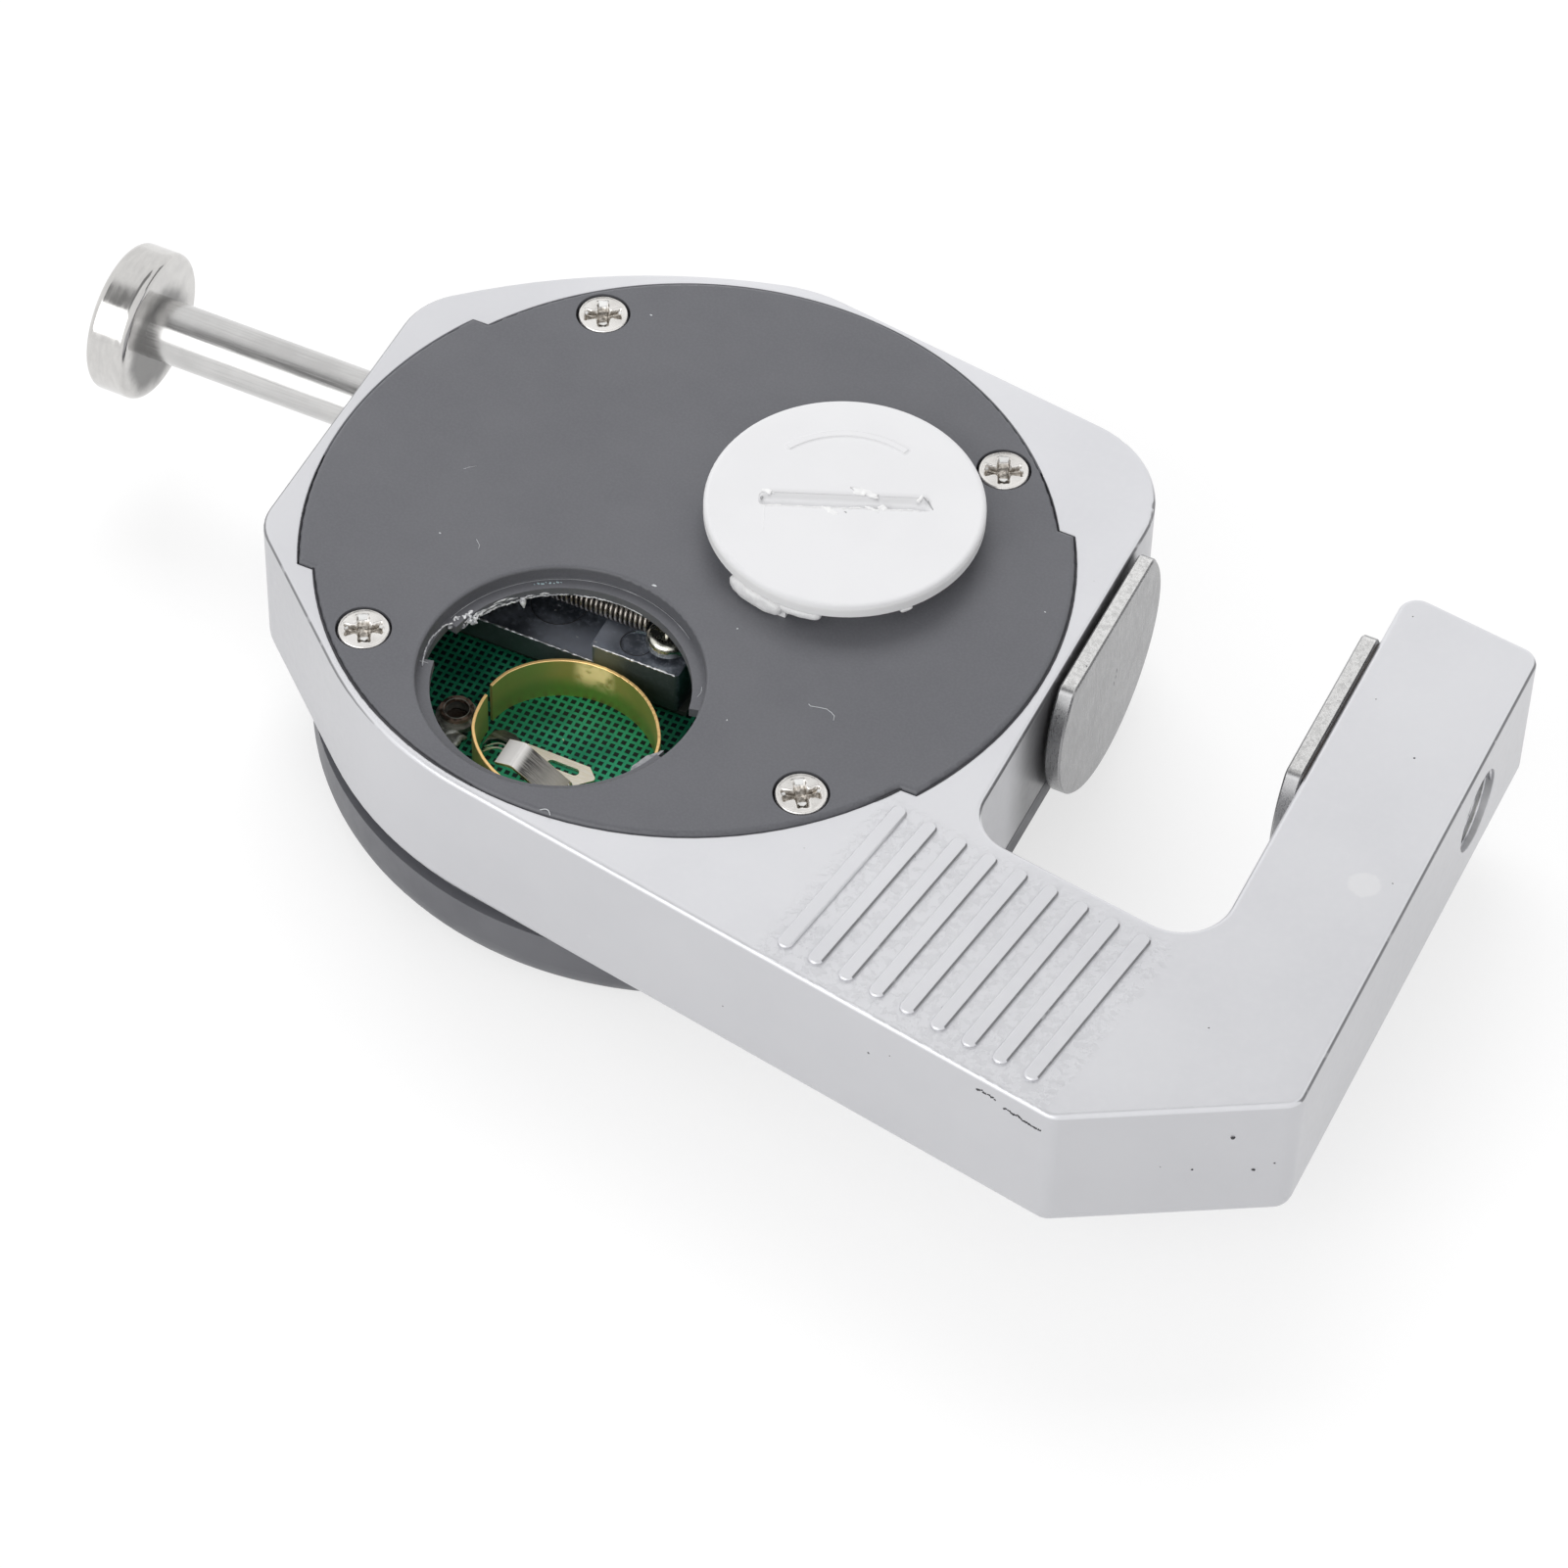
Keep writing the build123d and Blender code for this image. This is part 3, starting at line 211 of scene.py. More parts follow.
def casting_finish():
    """Satin silver casting: faint cloud, scuffs, pits and a rough ground between the ribs, with painted shade
    on its sides, left end and throat wall, and painted dark reflection lines on its top edges.
    """
    f = Finish("silver_casting_finish", metallic=0.5, ior=1.45)
    mottle = f.noise(0.5)
    f.paint(f.clouded((0.72, 0.723, 0.752), (0.765, 0.768, 0.795), 14, 0.3, 0.7))
    f.tint((0.82, 0.822, 0.84), f.span(mottle, 0.4, 0.75, 0, 0.14))
    # Painted shade: sides darker than the top face, and the faces that look left and the left end darker
    # still
    f.tint((0.36, 0.36, 0.372), f.facing("Z", 0.45, 0.1), 0.36)
    shade = (0.2, 0.2, 0.21)
    f.tint(shade, f.facing("X", -0.3, -0.9), 0.12)
    f.tint(shade, f.at("X", -9, -20, 0, 0.14))
    # Painted shade on the throat wall below the moving anvil
    wall = f.between("X", throat_wall - 0.2, throat_wall - 0.1, throat_wall + 0.1, throat_wall + 0.2)
    f.tint((0.12, 0.12, 0.125), wall, f.between("Y", -7, -3, 10.5, 12.8), 0.8)
    scuff = f.span(f.noise(2.6, detail=6, distortion=0.8), 0.67, 0.73)
    scuff = f.both(scuff, f.span(f.noise(11), 0.54, 0.62))
    f.tint((0.92, 0.92, 0.93), scuff, 0.5)
    spot = f.math("ADD", f.distance(f.place, (46.46, -5.99, frame_top)), f.both(f.noise(0.8), 0.6))
    f.tint((0.9, 0.9, 0.905), f.span(spot, 1.35, 1.1, 0, 0.35))
    # Painted dark reflection lines on the rounded top edges that face left and right
    rightward = f.both(f.facing("X", 0.25, 0.4), f.at("X", 20, 21))
    rightward = f.both(rightward, f.facing("Y", -0.32, -0.22), f.facing("Y", 0.4, 0.25))
    leftward = f.both(f.facing("X", -0.3, -0.5), f.at("Y", 14, 12), f.at("X", -8, -11))
    line = f.both(f.math("MAXIMUM", rightward, leftward), f.facing("Z", 0.2, 0.35), f.facing("Z", 0.9, 0.78))
    line = f.both(line, f.at("Z", frame_top - 0.3, frame_top - 0.22))
    line = f.both(line, f.span(f.noise(1.2, detail=4), 0.28, 0.42, 0.35, 0.75))
    # Rough ground and dark specks between the ribs, on the back face only
    ground = f.between("Z", frame_top - 0.05, frame_top + 0.02, frame_top + 0.01, frame_top + 0.03)
    ground = f.both(ground, f.between("X", 20, 21.5, 39.9, 40.9, rib_turn))
    ground = f.both(ground, f.between("Y", -25, -23.6, -10.4, -8.6, rib_turn))
    rough = f.both(ground, f.span(f.noise(0.45, detail=6, distortion=0.4), 0.46, 0.58))
    dark = f.math("MAXIMUM", f.specks(3.4, 0.08, 0.12), f.both(ground, f.specks(1.1, 0.07, 0.14)))
    f.tint((0.4, 0.4, 0.42), rough, 0.16)
    f.tint((0.09, 0.09, 0.095), line)
    f.tint((0.13, 0.12, 0.115), dark)
    f.set(roughness=f.span(f.math("ADD", mottle, scuff), 0.3, 1.3, 0.3, 0.5))
    peel = f.bump(f.noise(0.9, detail=2), 0.003, f.soften(0.1))
    f.set(normal=f.bump(dark, -0.04, f.bump(rough, 0.02, peel)))
    return f.material


def plastic_finish(name, low, high, roughness, grain=0.004, dust=0, speckle=0, rim=None, slot_shade=None):
    """Moulded plastic: slight cloud, fine grain, some dust; rim paints the sides paler as painted light, and
    a slot gets painted shade on its far lip.
    """
    f = Finish(name, ior=1.5)
    f.paint(f.clouded(low, high, 7, detail=4))
    # Painted light: the sides are painted paler than the face
    if rim:
        f.tint(rim, f.facing("Z", 0.7, 0.2))
    # Painted shade on the far lip of the coin slot
    if slot_shade:
        along, across, turn = slot_shade
        lip = f.between("Y", across, across + 0.3, across + 0.55, across + 0.98, turn)
        length = f.between("X", along - 5.2, along - 4.8, along + 4.8, along + 5.2, turn)
        f.tint((0.62, 0.62, 0.63), lip, length, 0.5)
    if speckle:
        f.tint([v * 1.35 for v in high], f.span(f.noise(0.16, detail=2), 0.35, 0.7, 0, speckle))
    f.tint((0.75, 0.75, 0.75), f.specks(3.1, 0.07, dust))
    f.rough(f.noise(2, detail=4), roughness - 0.04, roughness + 0.05)
    f.set(normal=f.bump(f.noise(0.14, detail=2), grain, f.soften(0.06)))
    return f.material


def steel_finish(
    name, low, high, roughness, grain, stretch=(1, 1, 1), depth=0.0015, metal=1,
    rim=None, top=None, root=None,
):
    """Bare steel with fine lines; rim pales its edges, top its upper flats, root paints shade and a dark
    reflection round a rod.
    """
    f = Finish(name, metallic=metal)
    lines = f.noise(grain, detail=4, stretch=stretch)
    f.paint(f.mix(f.span(f.math("ADD", lines, f.noise(2.5, detail=4)), 0.7, 1.3), low, high))
    if top:
        patchy = f.clouded(top, [0.78 * v for v in top], 0.22, 0.4, 0.66, detail=4)
        patchy = f.mix(f.specks(0.8, 0.06, 0.2), patchy, (0.2, 0.2, 0.2))
        f.tint(patchy, f.facing("Z", 0.9, 0.98))
    # Painted shade and dark reflection on the face round the rod's root
    if root:
        flat = f.node("CombineXYZ", {0: root.x, 1: f.axis("Y"), 2: f.axis("Z")}).outputs[0]
        away = f.distance(flat, (root.x, root.y - 0.5, root.z - 0.6))
        away = f.span(f.math("ADD", away, f.noise(1.2)), 4.7, 3.2)
        f.tint((0.05, 0.05, 0.05), away, f.facing("X", 0.7, 0.95), 0.75)
    if rim:
        f.tint(rim, f.edges(0.12))
    f.rough(lines, roughness * 0.75, roughness * 1.35)
    f.set(normal=f.bump(lines, depth, f.soften(0.05)))
    return f.material


def board_finish():
    """Green board with a grid of dark square pads under the lacquer."""
    f = Finish("board_finish", roughness=0.55, ior=1.35)
    pitch = 0.523
    ragged = f.both(f.noise(0.12, detail=2), 0.03)
    pads = f.at("Z", board_top - 0.05, board_top - 0.02)
    for letter in "XY":
        away = f.math("ADD", f.math("PINGPONG", f.axis(letter), pitch / 2), ragged)
        pads = f.both(pads, f.span(away, 0.108, 0.13))
    f.paint(f.clouded((0.01, 0.215, 0.112), (0.035, 0.38, 0.2), 2.2, 0.3, 0.7))
    f.tint((0.5, 0.6, 0.4), f.specks(1.4, 0.07, 0.12))
    f.tint((0.002, 0.014, 0.014), pads)
    f.set(normal=f.bump(f.math("SUBTRACT", f.noise(0.3), pads), 0.012))
    return f.material


def ring_finish():
    """Gilt spring brass: gold, with a painted green reflection of the board below and at the sides, a painted
    glowing highlight on the far wall, and a sheared edge with a painted glow.
    """
    f = Finish("ring_finish", metallic=0.8)
    cloud = f.noise(3, detail=2)
    height = f.math("ADD", f.axis("Z"), f.both(cloud, 0.9))
    low = f.span(height, board_top + 2.5, board_top + 1.2)
    f.paint(f.mix(f.span(cloud, 0.35, 0.65), (1, 0.7, 0.24), (0.95, 0.68, 0.2)))
    # Painted reflection of the green board: green low down and on the left, yellow-green on the right
    f.tint((0.34, 0.56, 0.11), low)
    f.tint((0.3, 0.56, 0.17), f.at("X", well.x - 2.2, well.x - 4.2, 0, 0.7))
    f.tint((0.4, 0.46, 0.1), f.at("X", well.x + 1, well.x + 2.6, 0, 0.5))
    # Painted highlight on the far wall
    shine = f.between("X", well.x - 2.1, well.x - 1.1, well.x + 0.2, well.x + 1)
    shine = f.both(shine, f.at("Z", board_top + 0.7, board_top + 2.4), f.at("Y", well.y, well.y + 2))
    shine = f.both(shine, f.span(f.noise(0.9), 0.3, 0.56))
    f.tint((1, 0.93, 0.72), shine, 0.85)
    f.tint((0.1, 0.07, 0.03), f.specks(1.6, 0.07, 0.2, stretch=(1, 1, 0.6)), 0.8)
    edge = f.facing("Z", 0.3, 0.6)
    f.tint((1, 0.66, 0.3), edge)
    f.set(roughness=f.span(f.math("ADD", low, cloud), 0.3, 1.5, 0.42, 0.34))
    f.set(normal=f.bump(f.noise(0.7, detail=2), 0.004))
    # Painted glow: on the sheared edge and the highlight, and faintly over the whole ring
    glow = f.math("ADD", f.both(edge, 0.12), f.math("ADD", f.both(shine, 0.38), 0.02))
    f.set(emission_color=(1, 0.7, 0.25), emission_strength=glow)
    return f.material


def leaf_finish():
    """Nickel silver strip: brushed tongue with a painted reflection, dark below its crest and lighter further
    down, a painted highlight on the crest, cream tinted base on the board, gold cut edges.
    """
    f = Finish("leaf_finish", metallic=0.85)
    lines = f.noise(0.07, stretch=(14, 1, 14))
    # Painted reflection: dark just below the crest, lighter further down
    f.paint(f.mix(f.at("Z", board_top + 2.3, board_top + 0.9), (0.09, 0.088, 0.085), (0.6, 0.58, 0.55)))
    f.tint((0.75, 0.73, 0.7), f.span(lines, 0.42, 0.62, 0, 0.36))
    # Painted highlight on the crest
    f.tint((0.95, 0.93, 0.91), f.at("Z", board_top + 2.3, board_top + 2.62))
    cream = f.mix(f.span(lines, 0.4, 0.62), (0.9, 0.83, 0.68), (1, 0.96, 0.87))
    f.tint(cream, f.at("Z", board_top + 0.45, board_top + 0.2))
    f.tint((1, 0.84, 0.5), f.edges(0.07), 0.8)
    f.rough(lines, 0.32, 0.5)
    f.set(normal=f.bump(lines, 0.0015))
    return f.material


def eyelet_finish():
    """Eyelet with a dark copper rim over a grey tinned body."""
    f = Finish("eyelet_finish", metallic=0.6)
    f.paint(f.clouded((0.22, 0.22, 0.2), (0.52, 0.52, 0.48), 0.7, detail=4))
    copper = f.clouded((0.1, 0.07, 0.055), (0.48, 0.34, 0.27), 0.5, 0.4, 0.6)
    f.tint(copper, f.at("Z", board_top + 0.6, board_top + 0.7))
    f.rough(f.noise(0.5), 0.3, 0.5)
    return f.material


def carriage_finish():
    """Dark raw casting with a painted sheen on its deck, fine scratches, nicks and a painted greenish
    reflection on its near side.
    """
    f = Finish("carriage_finish", metallic=0.7)
    fine = f.noise(0.35, detail=6, roughness=0.7)
    cloud = f.math("ADD", f.noise(2.6), f.both(fine, 0.5))
    f.paint(f.mix(f.span(cloud, 0.62, 0.92), (0.1, 0.115, 0.145), (0.27, 0.3, 0.37)))
    f.tint((0.46, 0.5, 0.58), f.span(fine, 0.52, 0.7, 0, 0.6))
    # Painted sheen on the deck near its front edge
    near = f.at("Y", near_edge + 3, near_edge + 1.2)
    f.tint((0.62, 0.67, 0.79), f.between("X", -9, -6, -3.4, -1), near, 0.8)
    # Painted greenish reflection on the near side
    f.tint((0.12, 0.17, 0.155), f.facing("Y", -0.5, -0.9), 0.8)
    scratch = f.span(f.noise(0.05, detail=2, stretch=(26, 1, 1), turn=-22), 0.7, 0.76)
    scratch = f.both(scratch, f.span(f.noise(1.1, detail=2), 0.45, 0.6), 0.8)
    bright = f.math("MAXIMUM", scratch, f.specks(0.55, 0.065, 0.3, stretch=(1.8, 1, 1)))
    f.tint((0.92, 0.94, 0.98), bright)
    f.rough(fine, 0.34, 0.5)
    f.set(normal=f.bump(fine, 0.012, f.soften(0.08)))
    return f.material


def glass_finish():
    f = Finish("window_finish", ior=1.49, transmission_weight=1, base_color=(0.93, 0.97, 0.97))
    f.rough(f.noise(4), 0.02, 0.06)
    return f.material


def recess_finish():
    """Nickel plated screw head, darker brown down in its cross."""
    f = Finish("screw_head_finish", metallic=1)
    f.paint(f.clouded((0.76, 0.74, 0.715), (0.88, 0.86, 0.835), 0.8, detail=4))
    deep_brown = f.clouded((0.26, 0.235, 0.205), (0.6, 0.56, 0.51), 0.25, detail=4)
    f.tint(deep_brown, f.at("Z", cover_top - 0.26, cover_top - 0.42))
    f.rough(f.noise(0.4), 0.22, 0.38)
    f.set(normal=f.bump(f.noise(0.25), 0.006))
    return f.material


def flash_finish(name, low, high, roughness=0.35, depth=0.03):
    """Torn, shiny skin of plastic where the moulding was cut away."""
    f = Finish(name, ior=1.5)
    f.paint(f.clouded(low, high, 0.35, 0.38, 0.62, detail=5, distortion=0.5))
    f.rough(f.noise(0.3), roughness - 0.1, roughness + 0.1)
    f.set(normal=f.bump(f.noise(0.2, detail=4), depth))
    return f.material


def dress(material, *nodes):
    """Puts a material on CAD nodes."""
    for node in nodes:
        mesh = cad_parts[node].data
        mesh.materials.clear()
        mesh.materials.append(material)
    return material


dress(casting_finish(), "frame")
cover_plastic = plastic_finish(
    "cover_finish", (0.122, 0.124, 0.137), (0.13, 0.132, 0.145), 0.45, dust=0.05, speckle=0.25
)
dress(cover_plastic, "back_cover")
case_plastic = plastic_finish("case_finish", (0.115, 0.117, 0.13), (0.135, 0.137, 0.15), 0.45, dust=0.05)
dress(case_plastic, "front_housing")
white_plastic = plastic_finish(
    "door_finish", (0.81, 0.81, 0.825), (0.83, 0.83, 0.845), 0.42,
    rim=(0.985, 0.985, 0.985), slot_shade=(9.37, 2.265, 23.4),
)
dress(white_plastic, "battery_door")
nickel = steel_finish("nickel_finish", (0.58, 0.58, 0.52), (0.8, 0.79, 0.72), 0.22, 0.35)
dress(nickel, "cover_screws", "board_screws", "anvil_screw", "clamp_screw", "anchor_screw", "carriage_screw")
rod_steel = steel_finish("rod_finish", (0.53, 0.525, 0.52), (0.62, 0.615, 0.61), 0.2, 0.1, (40, 1, 1))
dress(rod_steel, "spindle", "guide_rod")
cap_steel = steel_finish(
    "cap_finish", (0.58, 0.57, 0.56), (0.66, 0.65, 0.635), 0.14, 0.3, (1, 4, 4), root=middle_of("spindle")
)
dress(cap_steel, "plunger_cap", "switch_domes")
anvil_steel = steel_finish(
    "anvil_finish", (0.31, 0.31, 0.315), (0.385, 0.385, 0.39), 0.3, 0.08, (1, 1, 12),
    rim=(0.95, 0.95, 0.95), top=(0.84, 0.835, 0.83), metal=0.8,
)
dress(anvil_steel, "moving_anvil", "fixed_anvil")
dark_steel = steel_finish("spring_finish", (0.3, 0.275, 0.25), (0.62, 0.58, 0.53), 0.34, 0.2)
dress(dark_steel, "return_spring")
bronze = steel_finish("bush_finish", (0.45, 0.3, 0.15), (0.6, 0.42, 0.22), 0.35, 0.2, (4, 1, 1))
dress(bronze, "left_bush", "right_bush")
dress(plastic_finish("slider_finish", (0.035, 0.045, 0.04), (0.07, 0.075, 0.065), 0.5), "slider_board")
dress(plastic_finish("zebra_finish", (0.02, 0.02, 0.022), (0.035, 0.035, 0.037), 0.7), "zebra_strip")
dress(plastic_finish("resin_finish", (0.006,) * 3, (0.012,) * 3, 0.18, grain=0.01), "controller_chip")
screen = plastic_finish("display_finish", (0.24, 0.28, 0.23), (0.28, 0.32, 0.27), 0.15, grain=0.001)
dress(screen, "display_panel")
dress(plastic_finish("holder_finish", (0.68, 0.68, 0.66), (0.74, 0.74, 0.72), 0.5), "display_holder")
button_plastic = plastic_finish("button_finish", (0.52, 0.52, 0.53), (0.58, 0.58, 0.59), 0.5, dust=0.02)
dress(button_plastic, "unit_button", "zero_button", "power_button")
dress(glass_finish(), "display_window")
dress(board_finish(), "main_board")
dress(leaf_finish(), "leaf_contact")
dress(eyelet_finish(), "contact_eyelet")
dress(carriage_finish(), "carriage")
ring_brass = dress(ring_finish(), "battery_ring")

# Materials of detail pieces alone
bright_edge = steel_finish("bright_edge_finish", (0.62, 0.64, 0.68), (0.95, 0.96, 0.98), 0.4, 0.2)
screw_nickel = recess_finish()
torn_grey = flash_finish("torn_grey_finish", (0.36, 0.37, 0.39), (0.95, 0.96, 0.97))
flap_grey = flash_finish("flap_grey_finish", (0.2, 0.205, 0.22), (0.32, 0.325, 0.34), depth=0.01)
torn_white = flash_finish("torn_white_finish", (0.86, 0.86, 0.865), (0.93, 0.93, 0.93), 0.4, depth=0.003)
solder = steel_finish(
    "solder_finish", (0.28, 0.29, 0.27), (0.72, 0.74, 0.69), 0.4, 0.5, depth=0.02, metal=0.6
)
clip_metal = steel_finish("clip_finish", (0.05, 0.05, 0.055), (0.26, 0.26, 0.27), 0.35, 0.12, (8, 1, 1))
thread_metal = steel_finish("thread_finish", (0.35, 0.36, 0.38), (0.9, 0.9, 0.92), 0.35, 0.8)
# Near-black paint for painted shade in a gap and a bore
painted_shade_dark = plastic_finish("painted_shade_finish", (0.012, 0.008, 0.006), (0.03, 0.02, 0.014), 0.3)
teal_wax = plastic_finish("teal_wax_finish", (0.26, 0.38, 0.42), (0.5, 0.62, 0.65), 0.5)
mark_grey = plastic_finish("mark_grey_finish", (0.34, 0.34, 0.35), (0.55, 0.55, 0.56), 0.5)
glint = plastic_finish("glint_finish", (0.86, 0.86, 0.85), (0.95, 0.95, 0.94), 0.3)
lint = plastic_finish("lint_finish", (0.03, 0.03, 0.035), (0.05, 0.05, 0.055), 0.6)
pale_lint = plastic_finish("pale_lint_finish", (0.62, 0.64, 0.66), (0.78, 0.8, 0.82), 0.6)


# Detail pieces
def new_object(name, data):
    made = bpy.data.objects.new(name, data)
    bpy.context.scene.collection.objects.link(made)
    return made


def add_mesh(name, meshes, finish, body="gauge", smooth=True):
    """One piece that rides on a body, from pairs of points in millimetres and faces."""
    points, faces = [], []
    for more_points, more_faces in meshes:
        faces += [tuple(v + len(points) for v in face) for face in more_faces]
        points += more_points
    mesh = bpy.data.meshes.new(name)
    mesh.from_pydata([(x * MM, y * MM, z * MM) for x, y, z in points], [], faces)
    mesh.polygons.foreach_set("use_smooth", [smooth] * len(faces))
    mesh.materials.append(finish)
    piece = new_object(name, mesh)
    if body:
        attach(piece, body)
    return piece


def tube(path, radius, sides=6):
    """Points and faces of a closed tube of this radius along a path."""
    path = [Vector(p) for p in path]
    points = []
    normal = Vector((0, 0, 1))
    for i, p in enumerate(path):
        along = (path[min(i + 1, len(path) - 1)] - path[max(i - 1, 0)]).normalized()
        normal = (normal - along * normal.dot(along)).normalized()
        side = along.cross(normal)
        size = radius(i / (len(path) - 1)) if callable(radius) else radius
        for k in range(sides):
            a = 2 * pi * k / sides
            points.append(p + normal * (cos(a) * size) + side * (sin(a) * size))
    return points, capped(len(path), sides)


def shake(place, size, seed=0):
    """Smooth noise from -1 to 1 at a place, for features of this size."""
    return noise.noise(Vector(place) / size + Vector((seed, 1.7 * seed, 2.3 * seed)))


def wave(x, seed=0, y=0):
    """Smooth noise from -1 to 1 along a line, for features of size 1."""
    return shake((x, y, 0), 1, seed)


def blob(centre, radii, rough, size, seed, rings=8, sides=12):
    """Points and faces of a lumpy ball."""
    points, faces = [], []
    for i in range(rings + 1):
        up = pi * i / rings
        for k in range(sides):
            a = 2 * pi * k / sides
            way = Vector((sin(up) * cos(a), sin(up) * sin(a), cos(up)))
            p = Vector([w * r for w, r in zip(way, radii)])
            points.append(Vector(centre) + p * (1 + rough * shake(p, size, seed)))
    for i in range(rings):
        for k in range(sides):
            n = (k + 1) % sides
            faces.append((i * sides + k, (i + 1) * sides + k, (i + 1) * sides + n, i * sides + n))
    return points, faces


def grid_faces(rows, columns, closed=False):
    """Faces of a grid of points kept row by row; closed joins the last column to the first."""
    faces = []
    for r in range(rows - 1):
        for c in range(columns if closed else columns - 1):
            n = (c + 1) % columns
            faces.append((r * columns + c, r * columns + n, (r + 1) * columns + n, (r + 1) * columns + c))
    return faces


def capped(rows, columns):
    """Faces of a closed grid with both its ends shut."""
    ends = [tuple(reversed(range(columns))), tuple(range((rows - 1) * columns, rows * columns))]
    return grid_faces(rows, columns, closed=True) + ends


def smooth_step(low, high, value):
    t = min(max((value - low) / (high - low), 0), 1)
    return t * t * (3 - 2 * t)


def blended(table, x):
    """Value at x in a table of (x, value) pairs, straight between them."""
    for (x0, v0), (x1, v1) in zip(table, table[1:]):
        if x <= x1:
            return v0 + (v1 - v0) * max(0, (x - x0) / (x1 - x0))
    return table[-1][1]


def steps(count):
    """Even steps from 0 to 1."""
    return [i / (count - 1) for i in range(count)]


def arc_of(radius, start, end, count, z, centre=(0, 0)):
    """Points of an arc between two angles in degrees, at one height."""
    turns = [radians(start + (end - start) * t) for t in steps(count)]
    return [(centre[0] + radius * cos(a), centre[1] + radius * sin(a), z) for a in turns]


# Return spring: eye, coil, eye, drawn out between its two screws
wire = 0.21
coil_radius = 0.78 - wire / 2
eye_radius = 0.875
spring_low, spring_high = (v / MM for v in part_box("return_spring"))
spring_y = spring_high.y - coil_radius - wire / 2
spring_z = spring_high.z - coil_radius - wire / 2
eye_y = middle_of("carriage_screw").y
eye_z = spring_low.z + wire / 2
eye_left = spring_low.x + eye_radius + wire / 2
eye_right = spring_high.x - eye_radius - wire / 2
coil_left, coil_right = eye_left + 1.55, eye_right - 1.55
turns = 44
steps_per_turn = 24
path = arc_of(eye_radius, 360, 90, 19, eye_z, (eye_left, eye_y))
for i in range(turns * steps_per_turn + 1):
    a = 2 * pi * i / steps_per_turn - pi / 2
    x = coil_left + (coil_right - coil_left) * i / (turns * steps_per_turn)
    path.append((x, spring_y + coil_radius * cos(a), spring_z + coil_radius * sin(a)))
path += arc_of(eye_radius, 90, -180, 19, eye_z, (eye_right, eye_y))
spring = add_mesh("spring_coil", [tube(path, wire / 2, 10)], dark_steel, None)
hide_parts("return_spring")
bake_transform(spring)

# Cover screws: heads with a wavy pressed rim and a worn, flared cross, and painted glints in the cross
head_radius = 1.6
head_height = 0.8
head_rim = 0.09
shank_radius = 0.9
screw_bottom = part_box("cover_screws")[0].z / MM
arm_reach = 1.18
arm_depth = 0.5


def cross_depth(u, v, seed):
    """Depth of the cross at a place on the head; its far and near arms end in long ramps."""
    deepest = 0
    for along, across, half, flare, ramp in ((u, v, 0.27, 0.22, 0.16), (v, u, 0.34, 0.03, 0.62)):
        t = abs(along)
        side = half + flare * (t / arm_reach) ** 2 + 0.06 * shake((along, across, 0), 0.35, seed)
        wall = smooth_step(side + 0.06, side - 0.06, abs(across))
        reach = arm_reach + 0.1 * shake((across * 2, along, 3), 0.5, seed)
        deepest = max(deepest, wall * smooth_step(reach, reach - ramp, t))
    middle = hypot(u, v)
    return arm_depth * max(deepest, smooth_step(0.66, 0.34, middle)) + 0.16 * smooth_step(0.42, 0.2, middle)


def screw_head(centre, turn, seed):
    rows, columns = 46, 120
    points = []
    for r in range(rows):
        for c in range(columns):
            a = 2 * pi * c / columns
            edge = head_radius - 0.035 * (1 + shake((cos(a), sin(a), 0), 0.55, seed))
            reach = edge * r / (rows - 1)
            u, v = reach * cos(a - turn), reach * sin(a - turn)
            drop = cross_depth(u, v, seed) + 0.07 * smooth_step(edge - head_rim, edge, reach)
            lip = 0.03 * exp(-(((edge - head_rim - reach) / 0.06) ** 2))
            burr = 0.03 * max(0, shake((u, v, 5), 0.22, seed))
            burr *= smooth_step(0.02, 0.2, cross_depth(u * 0.93, v * 0.93, seed))
            x, y = centre[0] + reach * cos(a), centre[1] + reach * sin(a)
            points.append((x, y, cover_top - 0.035 - drop + lip + burr))
    for radius, z in (
        (head_radius, cover_top - head_height), (shank_radius, cover_top - head_height),
        (shank_radius, screw_bottom), (0.001, screw_bottom),
    ):
        for c in range(columns):
            a = 2 * pi * c / columns
            points.append((centre[0] + radius * cos(a), centre[1] + radius * sin(a), z))
    return points, grid_faces(rows + 4, columns, closed=True)


screw_circle_radius = 20.4
heads, glints = [], []
for i, a in enumerate((45, 131, 225, 315)):
    place = (screw_circle_radius * cos(radians(a)), screw_circle_radius * sin(radians(a)))
    turn = radians(24 + 3 * i)
    heads.append(screw_head(place, turn, 1 + i))
    # Painted glints: small white plates in the cross that stand in for reflections
    for corners in (
        ((-0.3, 1.12, 0.02), (0.31, 1.09, 0.02), (0.25, 0.8, -0.14), (-0.24, 0.78, -0.14)),
        (
            (-0.27, -0.36, -0.4), (0.22, -0.33, -0.4), (0.22, -0.62, -0.22), (0.03, -0.9, -0.07),
            (-0.2, -0.78, -0.12),
        ),
        ((-1.16, 0.16, 0), (-0.98, 0.24, 0), (-0.92, 0.14, -0.1), (-1.1, 0.05, -0.1)),
        ((0.98, 0.2, 0), (1.2, 0.16, 0), (1.14, 0.04, -0.1), (0.94, 0.1, -0.1)),
    ):
        upper = []
        for u, v, z in corners:
            u += 0.05 * shake((u, v, i), 0.4, 3 + i)
            v += 0.05 * shake((v, u, i), 0.4, 5 + i)
            x = place[0] + u * cos(turn) - v * sin(turn)
            y = place[1] + u * sin(turn) + v * cos(turn)
            upper.append((x, y, cover_top - 0.03 + z))
        count = len(corners)
        shell = upper + [(x, y, z - 0.05) for x, y, z in upper]
        sides = [(k, k + count, (k + 1) % count + count, (k + 1) % count) for k in range(count)]
        glints.append((shell, [tuple(reversed(range(count))), tuple(range(count, 2 * count))] + sides))
screws = add_mesh("screw_heads", heads, screw_nickel)
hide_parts("cover_screws")
add_mesh("screw_glints", glints, glint, smooth=False)

